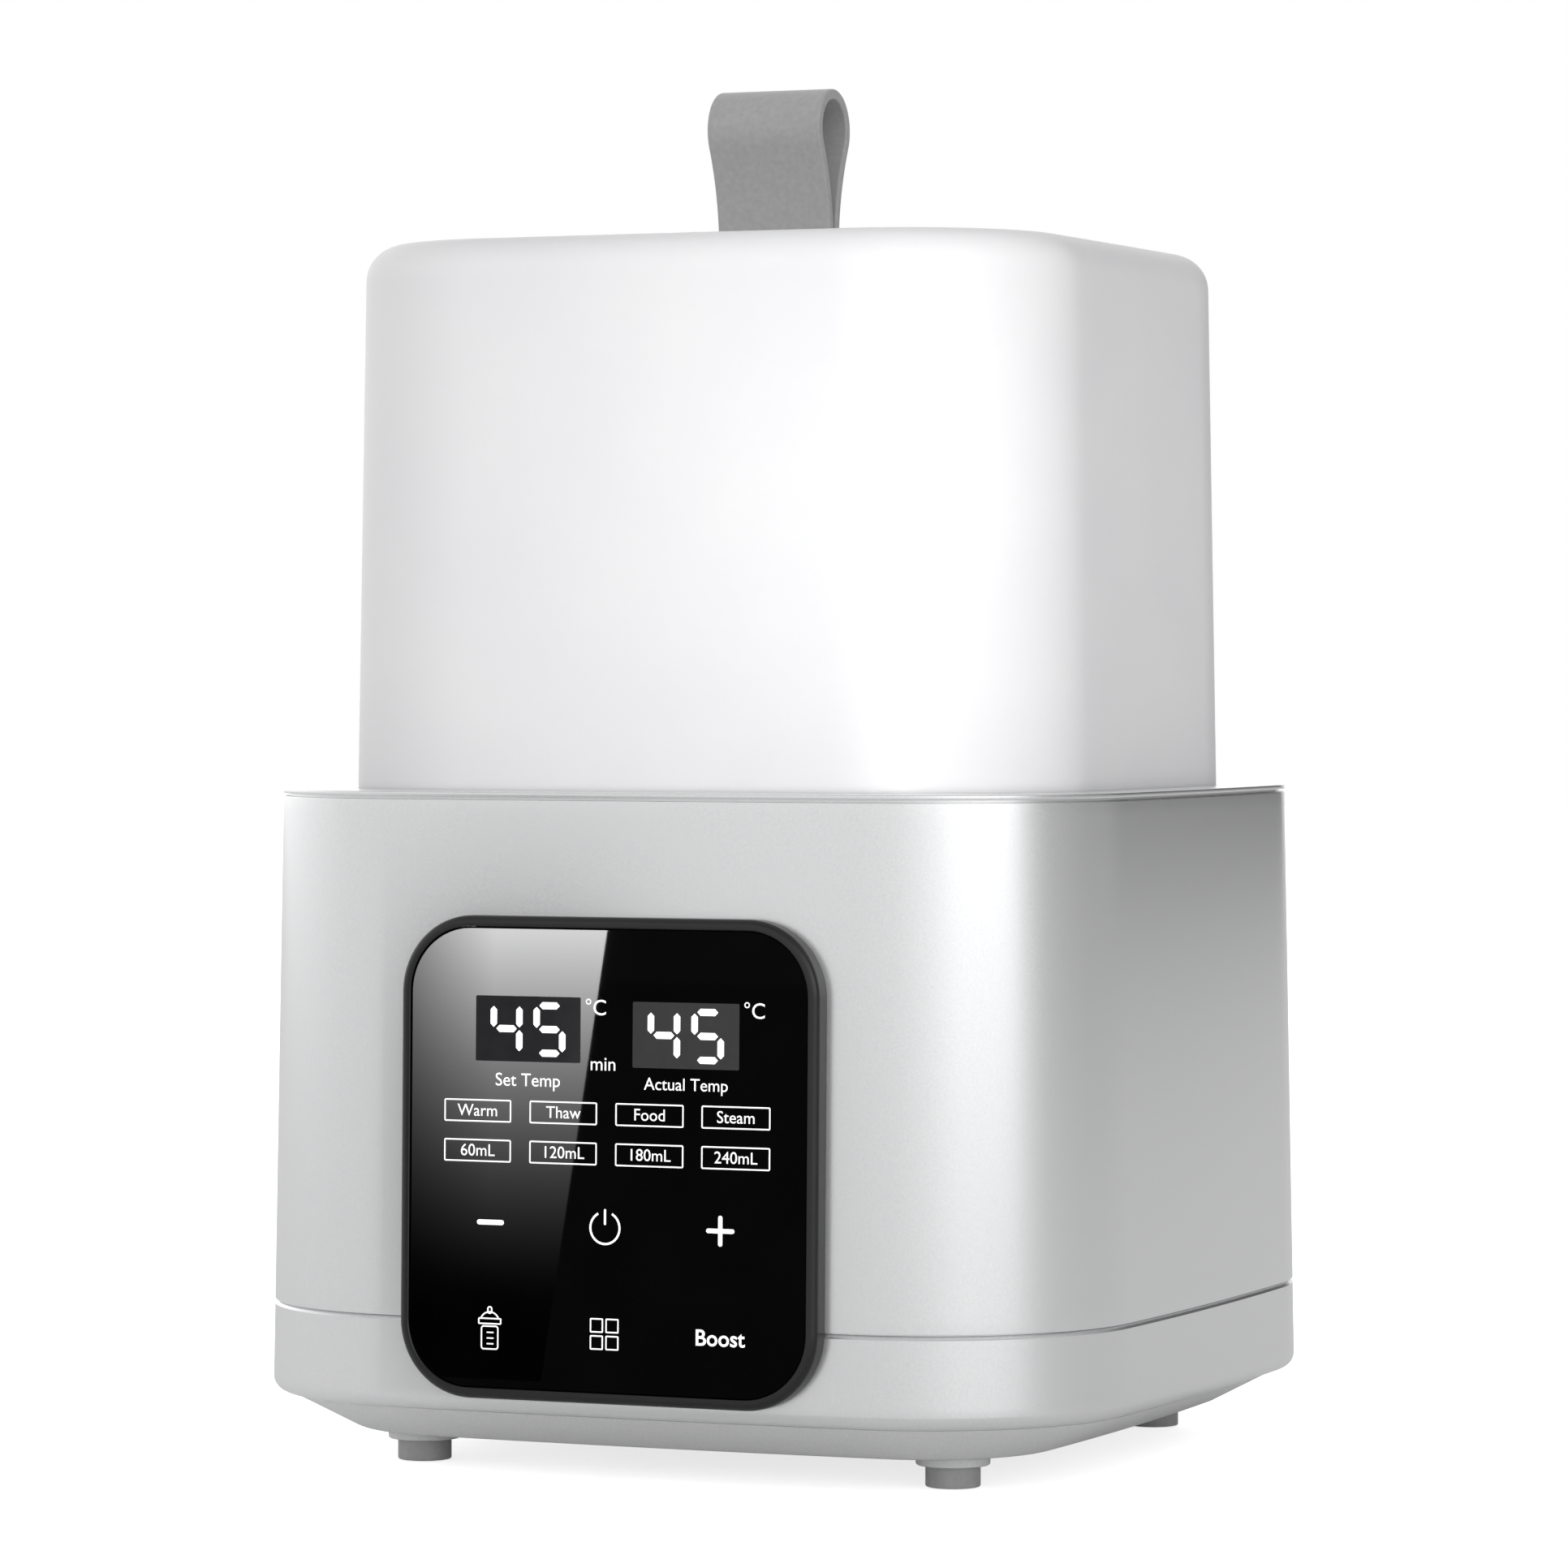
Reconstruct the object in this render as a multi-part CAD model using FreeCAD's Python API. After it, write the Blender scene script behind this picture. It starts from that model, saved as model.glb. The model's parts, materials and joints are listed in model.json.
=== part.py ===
import FreeCAD, Part
import math
import os

# Bottle warmer: a frosted lid over a two-bottle water tank, in a painted casing
# with a touch panel.  Millimetres, +Z up, front face towards -Y.
# Origin: middle of the footprint, on the surface that the feet stand on.

V = FreeCAD.Vector
UP = V(0, 0, 1)
BACK = V(0, 1, 0)
SIDE = V(1, 0, 0)

# ---- driving dimensions ------------------------------------------------------
# Casing outline, where the shell meets the deck
DECK_RIM_X = 12.0
DECK_RIM_Y = 13.75
CASING_CORNER_R = 41.0
CASING_SIDE_R = 1000.0
CASING_DRAFT = 0.018
CASING_WALL = 2.4

# Heights, from the floor up
FOOT_PAD_H = 4.2
FOOT_BOSS_H = 2.25
COVER_RISE = 7.4
LOWER_CASING_H = 18.25
SHELL_H = 101.3
SHADOW_GAP = 0.65
DECK_EDGE_H = 0.85
LID_SINK = 2.75
LID_ABOVE_DECK = 109.45

# Casing details
CASING_BOTTOM_R = 2.8
SEAM_CHAMFER = 0.7
SEAM_GAP = 0.15
LIP_T = 1.4
LIP_H = 4.0
LIP_ROOT = 3.0
BASE_LEDGE_T = 2.0
BASE_LEDGE_W = 4.0
DECK_CHAMFER = 0.3
DECK_LAND = 1.2
COVER_T = 2.0
COVER_INSET = 14.3
COVER_EDGE_GAP = 0.4
COVER_RIM_EXTRA = 0.6
COVER_SLOPE_EXTRA = 1.2
VENT_ROWS_Y = (-38.0, 38.0)
VENTS_IN_ROW = 7
VENT_PITCH = 6.5
VENT_HALF_W = 1.2
VENT_HALF_L = 7.0
VENT_END_R = 1.19

# Feet
FOOT_INSET_X = 32.7
FOOT_INSET_FRONT = 32.45
FOOT_INSET_REAR = 27.95
FOOT_BOSS_R = 7.3
FOOT_PAD_R = 5.4
FOOT_PAD_EDGE_R = 0.5
FOOT_POST_R = 4.2
FOOT_POST_H = 20.0
FOOT_POST_CAP = 3.0
FOOT_WEB_T = 2.4
FOOT_WEB_LIFT = 4.0
FOOT_WEB_DROP = 2.0
FOOT_WEB_REACH = 60.0
FOOT_WEB_SINK = 1.0

# Lid outline, where it enters the deck
LID_DEPTH_LESS = 5.0
LID_CORNER_R = 39.0
LID_SIDE_R = 3500.0
LID_DRAFT = 0.017
LID_WALL = 2.0
LID_TOP_R = 7.3
LID_FIT = 0.4
LID_SEAT_GAP = 0.3

# Strap on the lid
STRAP_X = -3.0
STRAP_WIDTH = 25.0
STRAP_T = 2.1
STRAP_BASE_HALF_GAP = 0.25
STRAP_LOOP_R = 7.2
STRAP_LOOP_H = 24.8
STRAP_FLANGE = 7.0
STRAP_SLOT_FIT = 0.2
RETAINER_T = 1.6
RETAINER_MARGIN = 8.0
RETAINER_CORNER_R = 3.0
STRAP_SCREW_L = 3.6

# Water tank and what closes it
TANK_INSET = 3.4
TANK_WALL = 1.8
TANK_FLOOR_LIFT = 14.4
TANK_FLOOR_T = 2.5
TANK_FLOOR_R = 6.0
TANK_FLANGE_T = 2.0
LEDGE_T = 1.6
SEAL_T = 1.0
TUB_T = 2.0
TANK_EAR_R = 3.6
TANK_EAR_REACH = 3.0
TANK_BOSS_LESS = 0.4
TANK_SCREW_L = 5.5

# Bottle basket
WELL_R = 35.5
WELL_WEB = 2.8
WELL_WALL = 1.2
WELL_H = 62.0
WEB_W = 5.0
BASKET_FIT = 1.0
BASKET_FOOT_H = 4.0
BASKET_FOOT_R = 3.0
BASKET_FOOT_INSET_X = 18.0
BASKET_FOOT_INSET_Y = 31.0
BASKET_FLOOR_T = 2.0
BASKET_HOLE_R = 2.6
BASKET_HOLE_PITCH = 9.0
BASKET_HOLE_RINGS = 4
WELL_SLOTS = 8
WELL_SLOT_W = 6.0
WELL_SLOT_PITCH = 29.0
WELL_SLOT_MARGIN = 9.0
GRIP_GAP = 9.3
GRIP_W = 34.0
GRIP_T = 2.6
GRIP_ABOVE_DECK = 4.95
GRIP_CORNER_R = 9.0
GRIP_POST_W = 6.0
GRIP_SLOT_HALF_H = 8.0
GRIP_SLOT_DROP = 15.0
GRIP_SLOT_R = 7.0
GRIP_WINDOW_LESS = 22.0
GRIP_WINDOW_DROP = 12.0
GRIP_WINDOW_R = 6.0

# Heater under the tank
FLOOR_OPENING_R = 46.0
PLATE_OVERLAP = 6.0
PLATE_T = 1.2
CROWN_H = 0.8
CROWN_GAP = 0.3
CROWN_EDGE_R = 0.7
GASKET_LIP_T = 1.3
GASKET_T = 1.4
SPREADER_LESS = 2.0
SPREADER_T = 4.0
ELEMENT_INSET = 13.0
ELEMENT_ROD_R = 3.2
ELEMENT_ARC = 300.0
ELEMENT_CAP_R = 2.6
ELEMENT_CAP_H = 2.0
ELEMENT_PIN_R = 1.6
ELEMENT_PIN_H = 5.0
CLAMP_OVERLAP = 10.0
CLAMP_T = 2.0
CLAMP_GAP = 1.0
CLAMP_SCREW_OUT = 5.0
CLAMP_SCREW_L = 5.0
CLAMP_BOSS_R = 3.6
STAT_X = -15.0
STAT_CAP_R = 8.0
STAT_CAP_H = 2.0
STAT_BODY_R = 7.0
STAT_BODY_H = 4.0
STAT_TAB = (6.0, 0.8, 5.5)
STAT_TAB_Y = 4.0
FUSE_X = 16.0
FUSE_Y = 6.0
FUSE_R = 2.0
FUSE_L = 10.0
FUSE_LEAD_R = 0.5
FUSE_LEAD_L = 5.0
FUSE_GAP = 0.1
SENSOR_R = 3.1
SENSOR_FIT = 0.2
SENSOR_SINK = 2.0
SENSOR_FLANGE_R = 5.0
SENSOR_FLANGE_T = 1.0
SENSOR_STUB_R = 2.0
SENSOR_STUB_H = 5.0

# Panel, in its own frame: along X, up the wall, and out of the wall
PANEL_SIDE_MARGIN = 9.5
PANEL_FOOT_MARGIN = 13.6
PANEL_LIFT = 3.25
PANEL_CORNER_R = 15.0
PANEL_PROUD = 3.6
BEZEL_BORDER = 2.1
BEZEL_EDGE_R = 1.4
BEZEL_FLOOR = 1.3
GLASS_DROP = 0.35
GLASS_GAP = 0.12
TAPE_T = 0.2
TAPE_INSET = 0.3
BOX_INSET_X = 5.25
BOX_INSET_Z = 5.0
BOX_CORNER_R = 2.7
BOX_WALL = 1.5
BOX_DEPTH = 10.0
BOX_FIT = 0.3
BOARD_T = 1.6
BOARD_GAP = 0.3
BOARD_CORNER_R = 1.0
BEHIND_GLASS_GAP = 0.3
PANEL_BOSS_R = 3.0
PANEL_SCREW_INSET = 2.5
PANEL_SCREW_L = 6.0
DIGIT_W = 22.4
DIGIT_H = 12.6
DIGIT_X = 16.8
DIGIT_Z = 24.8
LABEL_W = 14.5
LABEL_H = 4.3
LABEL_ROW_X = 27.5
LABEL_Z = (9.1, 1.3)
LABEL_FRAME_X = 1.25
LABEL_FRAME_Z = 1.45
KEY_X = (-24.5, 0.0, 24.5)
KEY_DROP = 12.7
MODE_DROP = 33.4
SPRING_R = 4.0
SPRING_WALL = 0.6
BUZZER_AT = (22.0, 22.0)
BUZZER_R = 5.0
BUZZER_HOLE_R = 0.8
BUZZER_H = 4.0

# Cord gland
GLAND_X = -40.0
GLAND_LIFT = 9.55
GLAND_BORE_R = 3.4
GLAND_BODY_R = 5.2
GLAND_COLLAR_R = 8.0
GLAND_PROUD = 3.6
GLAND_INSIDE = 10.0
GLAND_EDGE_R = 1.2
NUT_ACROSS = 12.8
NUT_T = 3.5
NUT_CLEAR = 0.4
NUT_ROOM = 6.0
NUT_BOW = 1.2
GLAND_FIT = 0.2

# Electronics
BOARD_W = 84.0
BOARD_D = 44.0
BOARD_Y = 14.0
BOARD_LIFT = 5.0
BOARD_EDGE_R = 2.0
BOARD_HOLE_INSET = 4.0
BOARD_PEG_R = 3.2
BOARD_SCREW_L = 4.5
RELAY_AT = (14.0, 6.0)
RELAY = (19.0, 15.5, 10.0)
TRANSFORMER_AT = (-14.0, -6.0)
TRANSFORMER_CORE = (20.0, 16.0, 9.0)
TRANSFORMER_COIL = (14.0, 20.0, 8.5)
COIL_LIFT = 2.0
CAPACITOR_AT = (30.0, -10.0)
CAPACITOR_R = 5.0
CAPACITOR_H = 11.0
CAPACITOR_EDGE_R = 0.6
TERMINAL_AT = (-22.0, 15.0)
TERMINAL = (22.0, 9.0, 10.0)
TERMINAL_HOLE_R = 2.0
TERMINAL_HOLE_X = (-6.0, 0.0, 6.0)
TERMINAL_FLOOR = 4.0

# Screws, and how shapes meet
SCREW_R = 1.4
SCREW_FIT = 0.2
SCREW_HEAD_R = 2.7
SCREW_HEAD_T = 1.8
SCREW_HEAD_FIT = 0.3
SCREW_WALL = 1.6
PILOT_SKIN = 0.8
FOOT_SCREW_L = 18.0
FOOT_SCREW_SEAT = 1.0
CUT = 1.0
SINK = 0.5
TINY = 0.01

# ---- sizes that follow -------------------------------------------------------
SCREW_HOLE_R = SCREW_R + SCREW_FIT
WELL_X = WELL_R + WELL_WEB / 2
GRIP_Y = WELL_R + WELL_WALL + GRIP_GAP
LID_HALF_X = WELL_X + WELL_R + WELL_WALL + BASKET_FIT + TANK_INSET
LID_HALF_Y = LID_HALF_X - LID_DEPTH_LESS
CASING_HALF_X = LID_HALF_X + DECK_RIM_X
CASING_HALF_Y = LID_HALF_Y + DECK_RIM_Y
FOOT_X = CASING_HALF_X - FOOT_INSET_X
FOOT_FRONT_Y = CASING_HALF_Y - FOOT_INSET_FRONT
FOOT_REAR_Y = CASING_HALF_Y - FOOT_INSET_REAR
PLATE_R = FLOOR_OPENING_R + PLATE_OVERLAP
CLAMP_R = PLATE_R + CLAMP_OVERLAP
CLAMP_SCREW_R = PLATE_R + CLAMP_SCREW_OUT
SPREADER_R = FLOOR_OPENING_R - SPREADER_LESS
ELEMENT_R = SPREADER_R - ELEMENT_INSET
LABEL_X = (-LABEL_ROW_X, -LABEL_ROW_X / 3, LABEL_ROW_X / 3, LABEL_ROW_X)
KEY_Z = (-KEY_DROP, -MODE_DROP)
PANEL_HALF_W = LABEL_ROW_X + LABEL_W / 2 + PANEL_SIDE_MARGIN
PANEL_HALF_H = MODE_DROP + PANEL_FOOT_MARGIN
BOX_HALF_W = PANEL_HALF_W - BOX_INSET_X
BOX_HALF_H = PANEL_HALF_H - BOX_INSET_Z
COVER_Z = FOOT_PAD_H + FOOT_BOSS_H
CASING_Z = COVER_Z + COVER_RISE
SEAM_Z = CASING_Z + LOWER_CASING_H
SHELL_TOP_Z = SEAM_Z + SEAM_GAP + SHELL_H
DECK_Z = SHELL_TOP_Z + SHADOW_GAP
DECK_TOP_Z = DECK_Z + DECK_EDGE_H
GRIP_TOP_Z = DECK_TOP_Z + GRIP_ABOVE_DECK
LID_Z = DECK_TOP_Z - LID_SINK
LID_TOP_Z = DECK_TOP_Z + LID_ABOVE_DECK
LID_ROOF_Z = LID_TOP_Z - LID_WALL
LEDGE_Z = LID_Z - LID_SEAT_GAP
SEAL_Z = LEDGE_Z - LEDGE_T
FLANGE_Z = SEAL_Z - SEAL_T
TANK_FLOOR_Z = SEAM_Z + TANK_FLOOR_LIFT
TANK_UNDER_Z = TANK_FLOOR_Z - TANK_FLOOR_T
PLATE_TOP_Z = TANK_UNDER_Z - GASKET_T
PLATE_Z = PLATE_TOP_Z - PLATE_T
SPREADER_Z = PLATE_Z - SPREADER_T
CLAMP_Z = PLATE_Z - CLAMP_T
BASKET_Z = TANK_FLOOR_Z + LID_SEAT_GAP
BASKET_FLOOR_Z = BASKET_Z + BASKET_FOOT_H
WELL_Z = BASKET_FLOOR_Z + BASKET_FLOOR_T
COVER_TOP_Z = COVER_Z + COVER_T
BOARD_Z = COVER_TOP_Z + BOARD_LIFT
BOARD_TOP_Z = BOARD_Z + BOARD_T
GLAND_Z = CASING_Z + GLAND_LIFT
PANEL_CENTRE_Z = CASING_Z + PANEL_LIFT + PANEL_HALF_H
PANEL_TILT = math.degrees(math.atan(CASING_DRAFT))
GLASS_FRONT = PANEL_PROUD - GLASS_DROP
GLASS_BACK = BEZEL_FLOOR + TAPE_T
GLASS_HALF_W = PANEL_HALF_W - BEZEL_BORDER - GLASS_GAP
GLASS_HALF_H = PANEL_HALF_H - BEZEL_BORDER - GLASS_GAP
GLASS_CORNER_R = PANEL_CORNER_R - BEZEL_BORDER - GLASS_GAP
BOARD_FACE = BOARD_T - BOX_DEPTH
FEET = (
    ("front_left", -FOOT_X, -FOOT_FRONT_Y),
    ("front_right", FOOT_X, -FOOT_FRONT_Y),
    ("rear_left", -FOOT_X, FOOT_REAR_Y),
    ("rear_right", FOOT_X, FOOT_REAR_Y),
)


# ---- shapes used by many pieces ----------------------------------------------
class Outline:
    """A rounded rectangle with bowed sides.  Its offsets keep the same arc centres."""

    def __init__(self, half_x, half_y, corner_r, side_r):
        self.half_x = half_x
        self.half_y = half_y
        self.corner_r = corner_r
        self.side_r = side_r
        x_centre = half_x - side_r
        y_centre = half_y - side_r
        reach = side_r - corner_r
        span = math.hypot(x_centre, y_centre)
        rise = math.sqrt(reach ** 2 - (span / 2) ** 2)
        self.corner = V(x_centre / 2 - y_centre / span * rise, y_centre / 2 - x_centre / span * rise, 0)
        self.to_x_side = (self.corner - V(x_centre, 0, 0)).normalize()
        self.to_y_side = (self.corner - V(0, y_centre, 0)).normalize()

    def wire(self, offset, z):
        radius = self.corner_r + offset
        diagonal = (self.to_x_side + self.to_y_side).normalize()
        a = self.corner + self.to_x_side * radius
        m = self.corner + diagonal * radius
        b = self.corner + self.to_y_side * radius
        east = self.half_x + offset
        north = self.half_y + offset
        points = [
            (a.x, -a.y), (east, 0), (a.x, a.y), (m.x, m.y), (b.x, b.y), (0, north),
            (-b.x, b.y), (-m.x, m.y), (-a.x, a.y), (-east, 0), (-a.x, -a.y), (-m.x, -m.y),
            (-b.x, -b.y), (0, -north), (b.x, -b.y), (m.x, -m.y), (a.x, -a.y),
        ]
        corners = [V(x, y, z) for x, y in points]
        arcs = [Part.Arc(*corners[i:i + 3]).toShape() for i in range(0, 16, 2)]
        return Part.Wire(arcs)

    def prism(self, offset, low, high):
        return Part.Face(self.wire(offset, low)).extrude(V(0, 0, high - low))

    def taper(self, low_offset, low, high_offset, high):
        return Part.makeLoft([self.wire(low_offset, low), self.wire(high_offset, high)], True, True)

    def ring(self, outer, inner, low, high):
        return self.prism(outer, low, high).cut(self.prism(inner, low - CUT, high + CUT))


CASING = Outline(CASING_HALF_X, CASING_HALF_Y, CASING_CORNER_R, CASING_SIDE_R)
LID = Outline(LID_HALF_X, LID_HALF_Y, LID_CORNER_R, LID_SIDE_R)


def casing_offset(z):
    """How far the drafted casing stands outside its outline at the deck."""
    return CASING_DRAFT * (DECK_Z - z)


def lid_offset(z):
    return LID_DRAFT * (DECK_TOP_Z - z)


def casing_block(inset, low, high):
    """Everything within the drafted casing, less an inset, between two heights."""
    return CASING.taper(casing_offset(low) - inset, low, casing_offset(high) - inset, high)


def disc(radius, low, high, x=0.0, y=0.0):
    return Part.makeCylinder(radius, high - low, V(x, y, low))


def washer(outer, inner, low, high, x=0.0, y=0.0):
    return disc(outer, low, high, x, y).cut(disc(inner, low - CUT, high + CUT, x, y))


def block(x, y, z, width, depth, height):
    """A box centred on x and y, standing on z."""
    return Part.makeBox(width, depth, height, V(x - width / 2, y - depth / 2, z))


def slab(half_w, half_h, corner_r, low, high, x=0.0, y=0.0):
    """A plate with rounded corners, centred on x and y."""
    plate = block(x, y, low, half_w * 2, half_h * 2, high - low)
    uprights = [e for e in plate.Edges if abs(e.tangentAt(e.FirstParameter).z) > 0.9]
    return plate.makeFillet(corner_r, uprights)


def fused(shapes):
    return shapes[0].fuse(shapes[1:]).removeSplitter()


def edges_at(shape, z):
    """The edges that lie level at one height."""
    boxes = [(e, e.BoundBox) for e in shape.Edges]
    return [e for e, b in boxes if max(abs(b.ZMin - z), abs(b.ZMax - z)) < TINY]


def on_panel(shape):
    """Moves a shape from the panel's frame (X, up the wall as Y, out of the wall as Z) to the front wall."""
    placed = shape.copy()
    placed.rotate(V(0, 0, 0), SIDE, 90 - PANEL_TILT)
    placed.translate(V(0, -CASING_HALF_Y - casing_offset(PANEL_CENTRE_Z), PANEL_CENTRE_Z))
    return placed


def pan_screw(x, y, head_z, length, direction=1):
    """A screw whose head starts at head_z and whose shank runs up (1) or down (-1)."""
    head = Part.makeCylinder(SCREW_HEAD_R, SCREW_HEAD_T, V(x, y, head_z), V(0, 0, direction))
    shank = Part.makeCylinder(SCREW_R, length + SCREW_HEAD_T, V(x, y, head_z), V(0, 0, direction))
    return head.fuse(shank).removeSplitter()


# ---- lid ---------------------------------------------------------------------
def lid_block(inset, low, high, top_r):
    shape = LID.taper(lid_offset(low) - inset, low, lid_offset(high) - inset, high)
    return shape.makeFillet(top_r, edges_at(shape, high))


def strap_slot():
    depth = 2 * (STRAP_BASE_HALF_GAP + STRAP_T + STRAP_SLOT_FIT)
    return block(STRAP_X, 0, LID_ROOF_Z - CUT, STRAP_WIDTH + 2 * STRAP_SLOT_FIT, depth, LID_WALL + 2 * CUT)


def retainer_screw_x():
    reach = STRAP_WIDTH / 2 + RETAINER_MARGIN / 2
    return (STRAP_X - reach, STRAP_X + reach)


def lid_dome():
    shell = lid_block(0, LID_Z, LID_TOP_Z, LID_TOP_R)
    hollow = lid_block(LID_WALL, LID_Z - CUT, LID_ROOF_Z, LID_TOP_R - LID_WALL)
    dome = shell.cut(hollow)
    low = LID_ROOF_Z - STRAP_T
    bosses = [disc(SCREW_R + SCREW_WALL, low, LID_ROOF_Z + SINK, x, 0) for x in retainer_screw_x()]
    pilots = [disc(SCREW_R, low - CUT, LID_TOP_Z - PILOT_SKIN, x, 0) for x in retainer_screw_x()]
    return dome.cut(strap_slot()).fuse(bosses).cut(pilots).removeSplitter()


def strap_line(side):
    """Half of the strap's outline at a distance from its middle line: base arc, then loop arc."""
    base_y = STRAP_BASE_HALF_GAP + STRAP_T / 2
    top = LID_TOP_Z + STRAP_LOOP_H
    swing = (base_y ** 2 + STRAP_LOOP_H ** 2 - STRAP_LOOP_R ** 2) / (2 * (STRAP_LOOP_R - base_y))
    pivot = V(0, base_y + swing, LID_TOP_Z)
    centre = V(0, 0, top)
    toward = (centre - pivot).normalize()
    start = V(0, base_y + side, LID_TOP_Z)
    meet = pivot + toward * (swing - side)
    middle = (V(0, -1, 0) + toward).normalize()
    base_arc = Part.Arc(start, pivot + middle * (swing - side), meet).toShape()
    loop_arc = Part.Arc(meet, centre + V(0, 0, STRAP_LOOP_R + side), V(0, -meet.y, meet.z)).toShape()
    return base_arc, loop_arc, start, base_arc.mirror(V(0, 0, 0), BACK)


def lid_strap():
    outer_base, outer_loop, outer_foot, outer_back = strap_line(STRAP_T / 2)
    inner_base, inner_loop, inner_foot, inner_back = strap_line(-STRAP_T / 2)
    drop = V(0, 0, -LID_WALL)
    feet = []
    for sign in (1, -1):
        outside = V(0, sign * outer_foot.y, LID_TOP_Z)
        inside = V(0, sign * inner_foot.y, LID_TOP_Z)
        feet.append(Part.makePolygon([outside, outside + drop, inside + drop, inside]))
    edges = [outer_base, outer_loop, outer_back, inner_base, inner_loop, inner_back]
    for foot in feet:
        edges.extend(foot.Edges)
    profile = Part.Face(Part.Wire(Part.__sortEdges__(edges)))
    loop = profile.extrude(V(STRAP_WIDTH, 0, 0))
    loop.translate(V(STRAP_X - STRAP_WIDTH / 2, 0, 0))
    depth = STRAP_T + STRAP_FLANGE
    reach = STRAP_BASE_HALF_GAP + depth / 2
    flanges = [block(STRAP_X, s * reach, LID_ROOF_Z - STRAP_T, STRAP_WIDTH, depth, STRAP_T) for s in (1, -1)]
    halves = [loop] + flanges
    return halves[0].fuse(halves[1:]).removeSplitter()


def strap_retainer():
    top = LID_ROOF_Z - STRAP_T
    half_w = STRAP_WIDTH / 2 + RETAINER_MARGIN
    half_d = STRAP_BASE_HALF_GAP + STRAP_T + STRAP_FLANGE
    plate = slab(half_w, half_d, RETAINER_CORNER_R, top - RETAINER_T, top, STRAP_X)
    holes = [disc(SCREW_HOLE_R, top - RETAINER_T - CUT, top + CUT, x, 0) for x in retainer_screw_x()]
    return plate.cut(holes)


def strap_screws():
    seat = LID_ROOF_Z - STRAP_T - RETAINER_T
    screws = [pan_screw(x, 0, seat - SCREW_HEAD_T, STRAP_SCREW_L) for x in retainer_screw_x()]
    return Part.makeCompound(screws)


# ---- casing ------------------------------------------------------------------
def panel_window(fit):
    half_w = BOX_HALF_W + fit
    half_h = BOX_HALF_H + fit
    return on_panel(slab(half_w, half_h, BOX_CORNER_R + fit, -BOX_DEPTH, BEZEL_FLOOR))


def top_deck():
    plate = CASING.prism(0, DECK_Z, DECK_TOP_Z)
    plate = plate.makeChamfer(DECK_CHAMFER, edges_at(plate, DECK_TOP_Z))
    land = CASING.prism(-DECK_LAND, SHELL_TOP_Z, DECK_Z)
    inside = -CASING_WALL - SEAM_GAP
    lip = CASING.ring(inside, inside - LIP_T, SHELL_TOP_Z - LIP_H, SHELL_TOP_Z)
    deck = fused([plate, land])
    deck = deck.cut(LID.prism(LID_FIT, LEDGE_Z, DECK_TOP_Z + CUT))
    tub = LID.ring(LID_FIT + TUB_T, LID_FIT, SEAL_Z, DECK_Z)
    ledge = LID.ring(LID_FIT + TUB_T, -TANK_INSET, SEAL_Z, LEDGE_Z)
    opening = LID.prism(-TANK_INSET, SEAL_Z - CUT, DECK_TOP_Z + CUT)
    bosses = [disc(TANK_EAR_R - TANK_BOSS_LESS, FLANGE_Z, DECK_Z, x, y) for x, y in tank_screw_points()]
    pilots = [disc(SCREW_R, FLANGE_Z - CUT, DECK_Z - PILOT_SKIN, x, y) for x, y in tank_screw_points()]
    return fused([deck.cut(opening), tub, ledge, lip] + bosses).cut(pilots)


def tank_screw_points():
    """Four screws that hold the tank up to the deck, outside the lid's corners."""
    diagonal = (LID.to_x_side + LID.to_y_side).normalize()
    spot = LID.corner + diagonal * (LID_CORNER_R + LID_FIT + TUB_T + TANK_EAR_REACH)
    return [(sx * spot.x, sy * spot.y) for sx in (-1, 1) for sy in (-1, 1)]


def outer_shell():
    low = SEAM_Z + SEAM_GAP
    inside = casing_block(CASING_WALL, low - CUT, SHELL_TOP_Z + CUT)
    return casing_block(0, low, SHELL_TOP_Z).cut([inside, panel_window(BOX_FIT)])


def lower_casing():
    body = casing_block(0, CASING_Z, SEAM_Z)
    body = body.makeFillet(CASING_BOTTOM_R, edges_at(body, CASING_Z))
    body = body.makeChamfer(SEAM_CHAMFER, edges_at(body, SEAM_Z))
    wall = body.cut(casing_block(CASING_WALL, CASING_Z - CUT, SEAM_Z + CUT))
    ledge_z = CASING_Z + CASING_BOTTOM_R
    ledge = casing_block(CASING_WALL, ledge_z, ledge_z + BASE_LEDGE_T)
    ledge = ledge.cut(CASING.prism(-CASING_BOTTOM_R - BASE_LEDGE_W, CASING_Z, SEAM_Z))
    inside = CASING_WALL + SEAM_GAP
    lip_z = SEAM_Z - LIP_ROOT
    lip = casing_block(inside, lip_z, SEAM_Z + LIP_H)
    lip = lip.cut(casing_block(inside + LIP_T, lip_z - CUT, SEAM_Z + LIP_H + CUT))
    root = casing_block(CASING_WALL, lip_z - LIP_ROOT + CUT, lip_z + CUT)
    root = root.cut(casing_block(inside + LIP_T, lip_z - LIP_ROOT, lip_z + LIP_ROOT - CUT))
    casing = fused([wall, ledge, lip, root])
    within = casing_block(FOOT_WEB_SINK, CASING_Z, SEAM_Z)
    casing = fused([casing] + [foot_post(x, y).common(within) for _, x, y in FEET])
    pilots = [disc(SCREW_R, 0, COVER_TOP_Z + FOOT_POST_H - FOOT_POST_CAP, x, y) for _, x, y in FEET]
    wall_y = rear_wall_y()
    gland_hole = along_y(GLAND_BODY_R + GLAND_FIT, wall_y - GLAND_INSIDE, wall_y + GLAND_PROUD)
    return casing.cut(pilots + [gland_hole, gland_pocket(), panel_window(BOX_FIT)])


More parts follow.
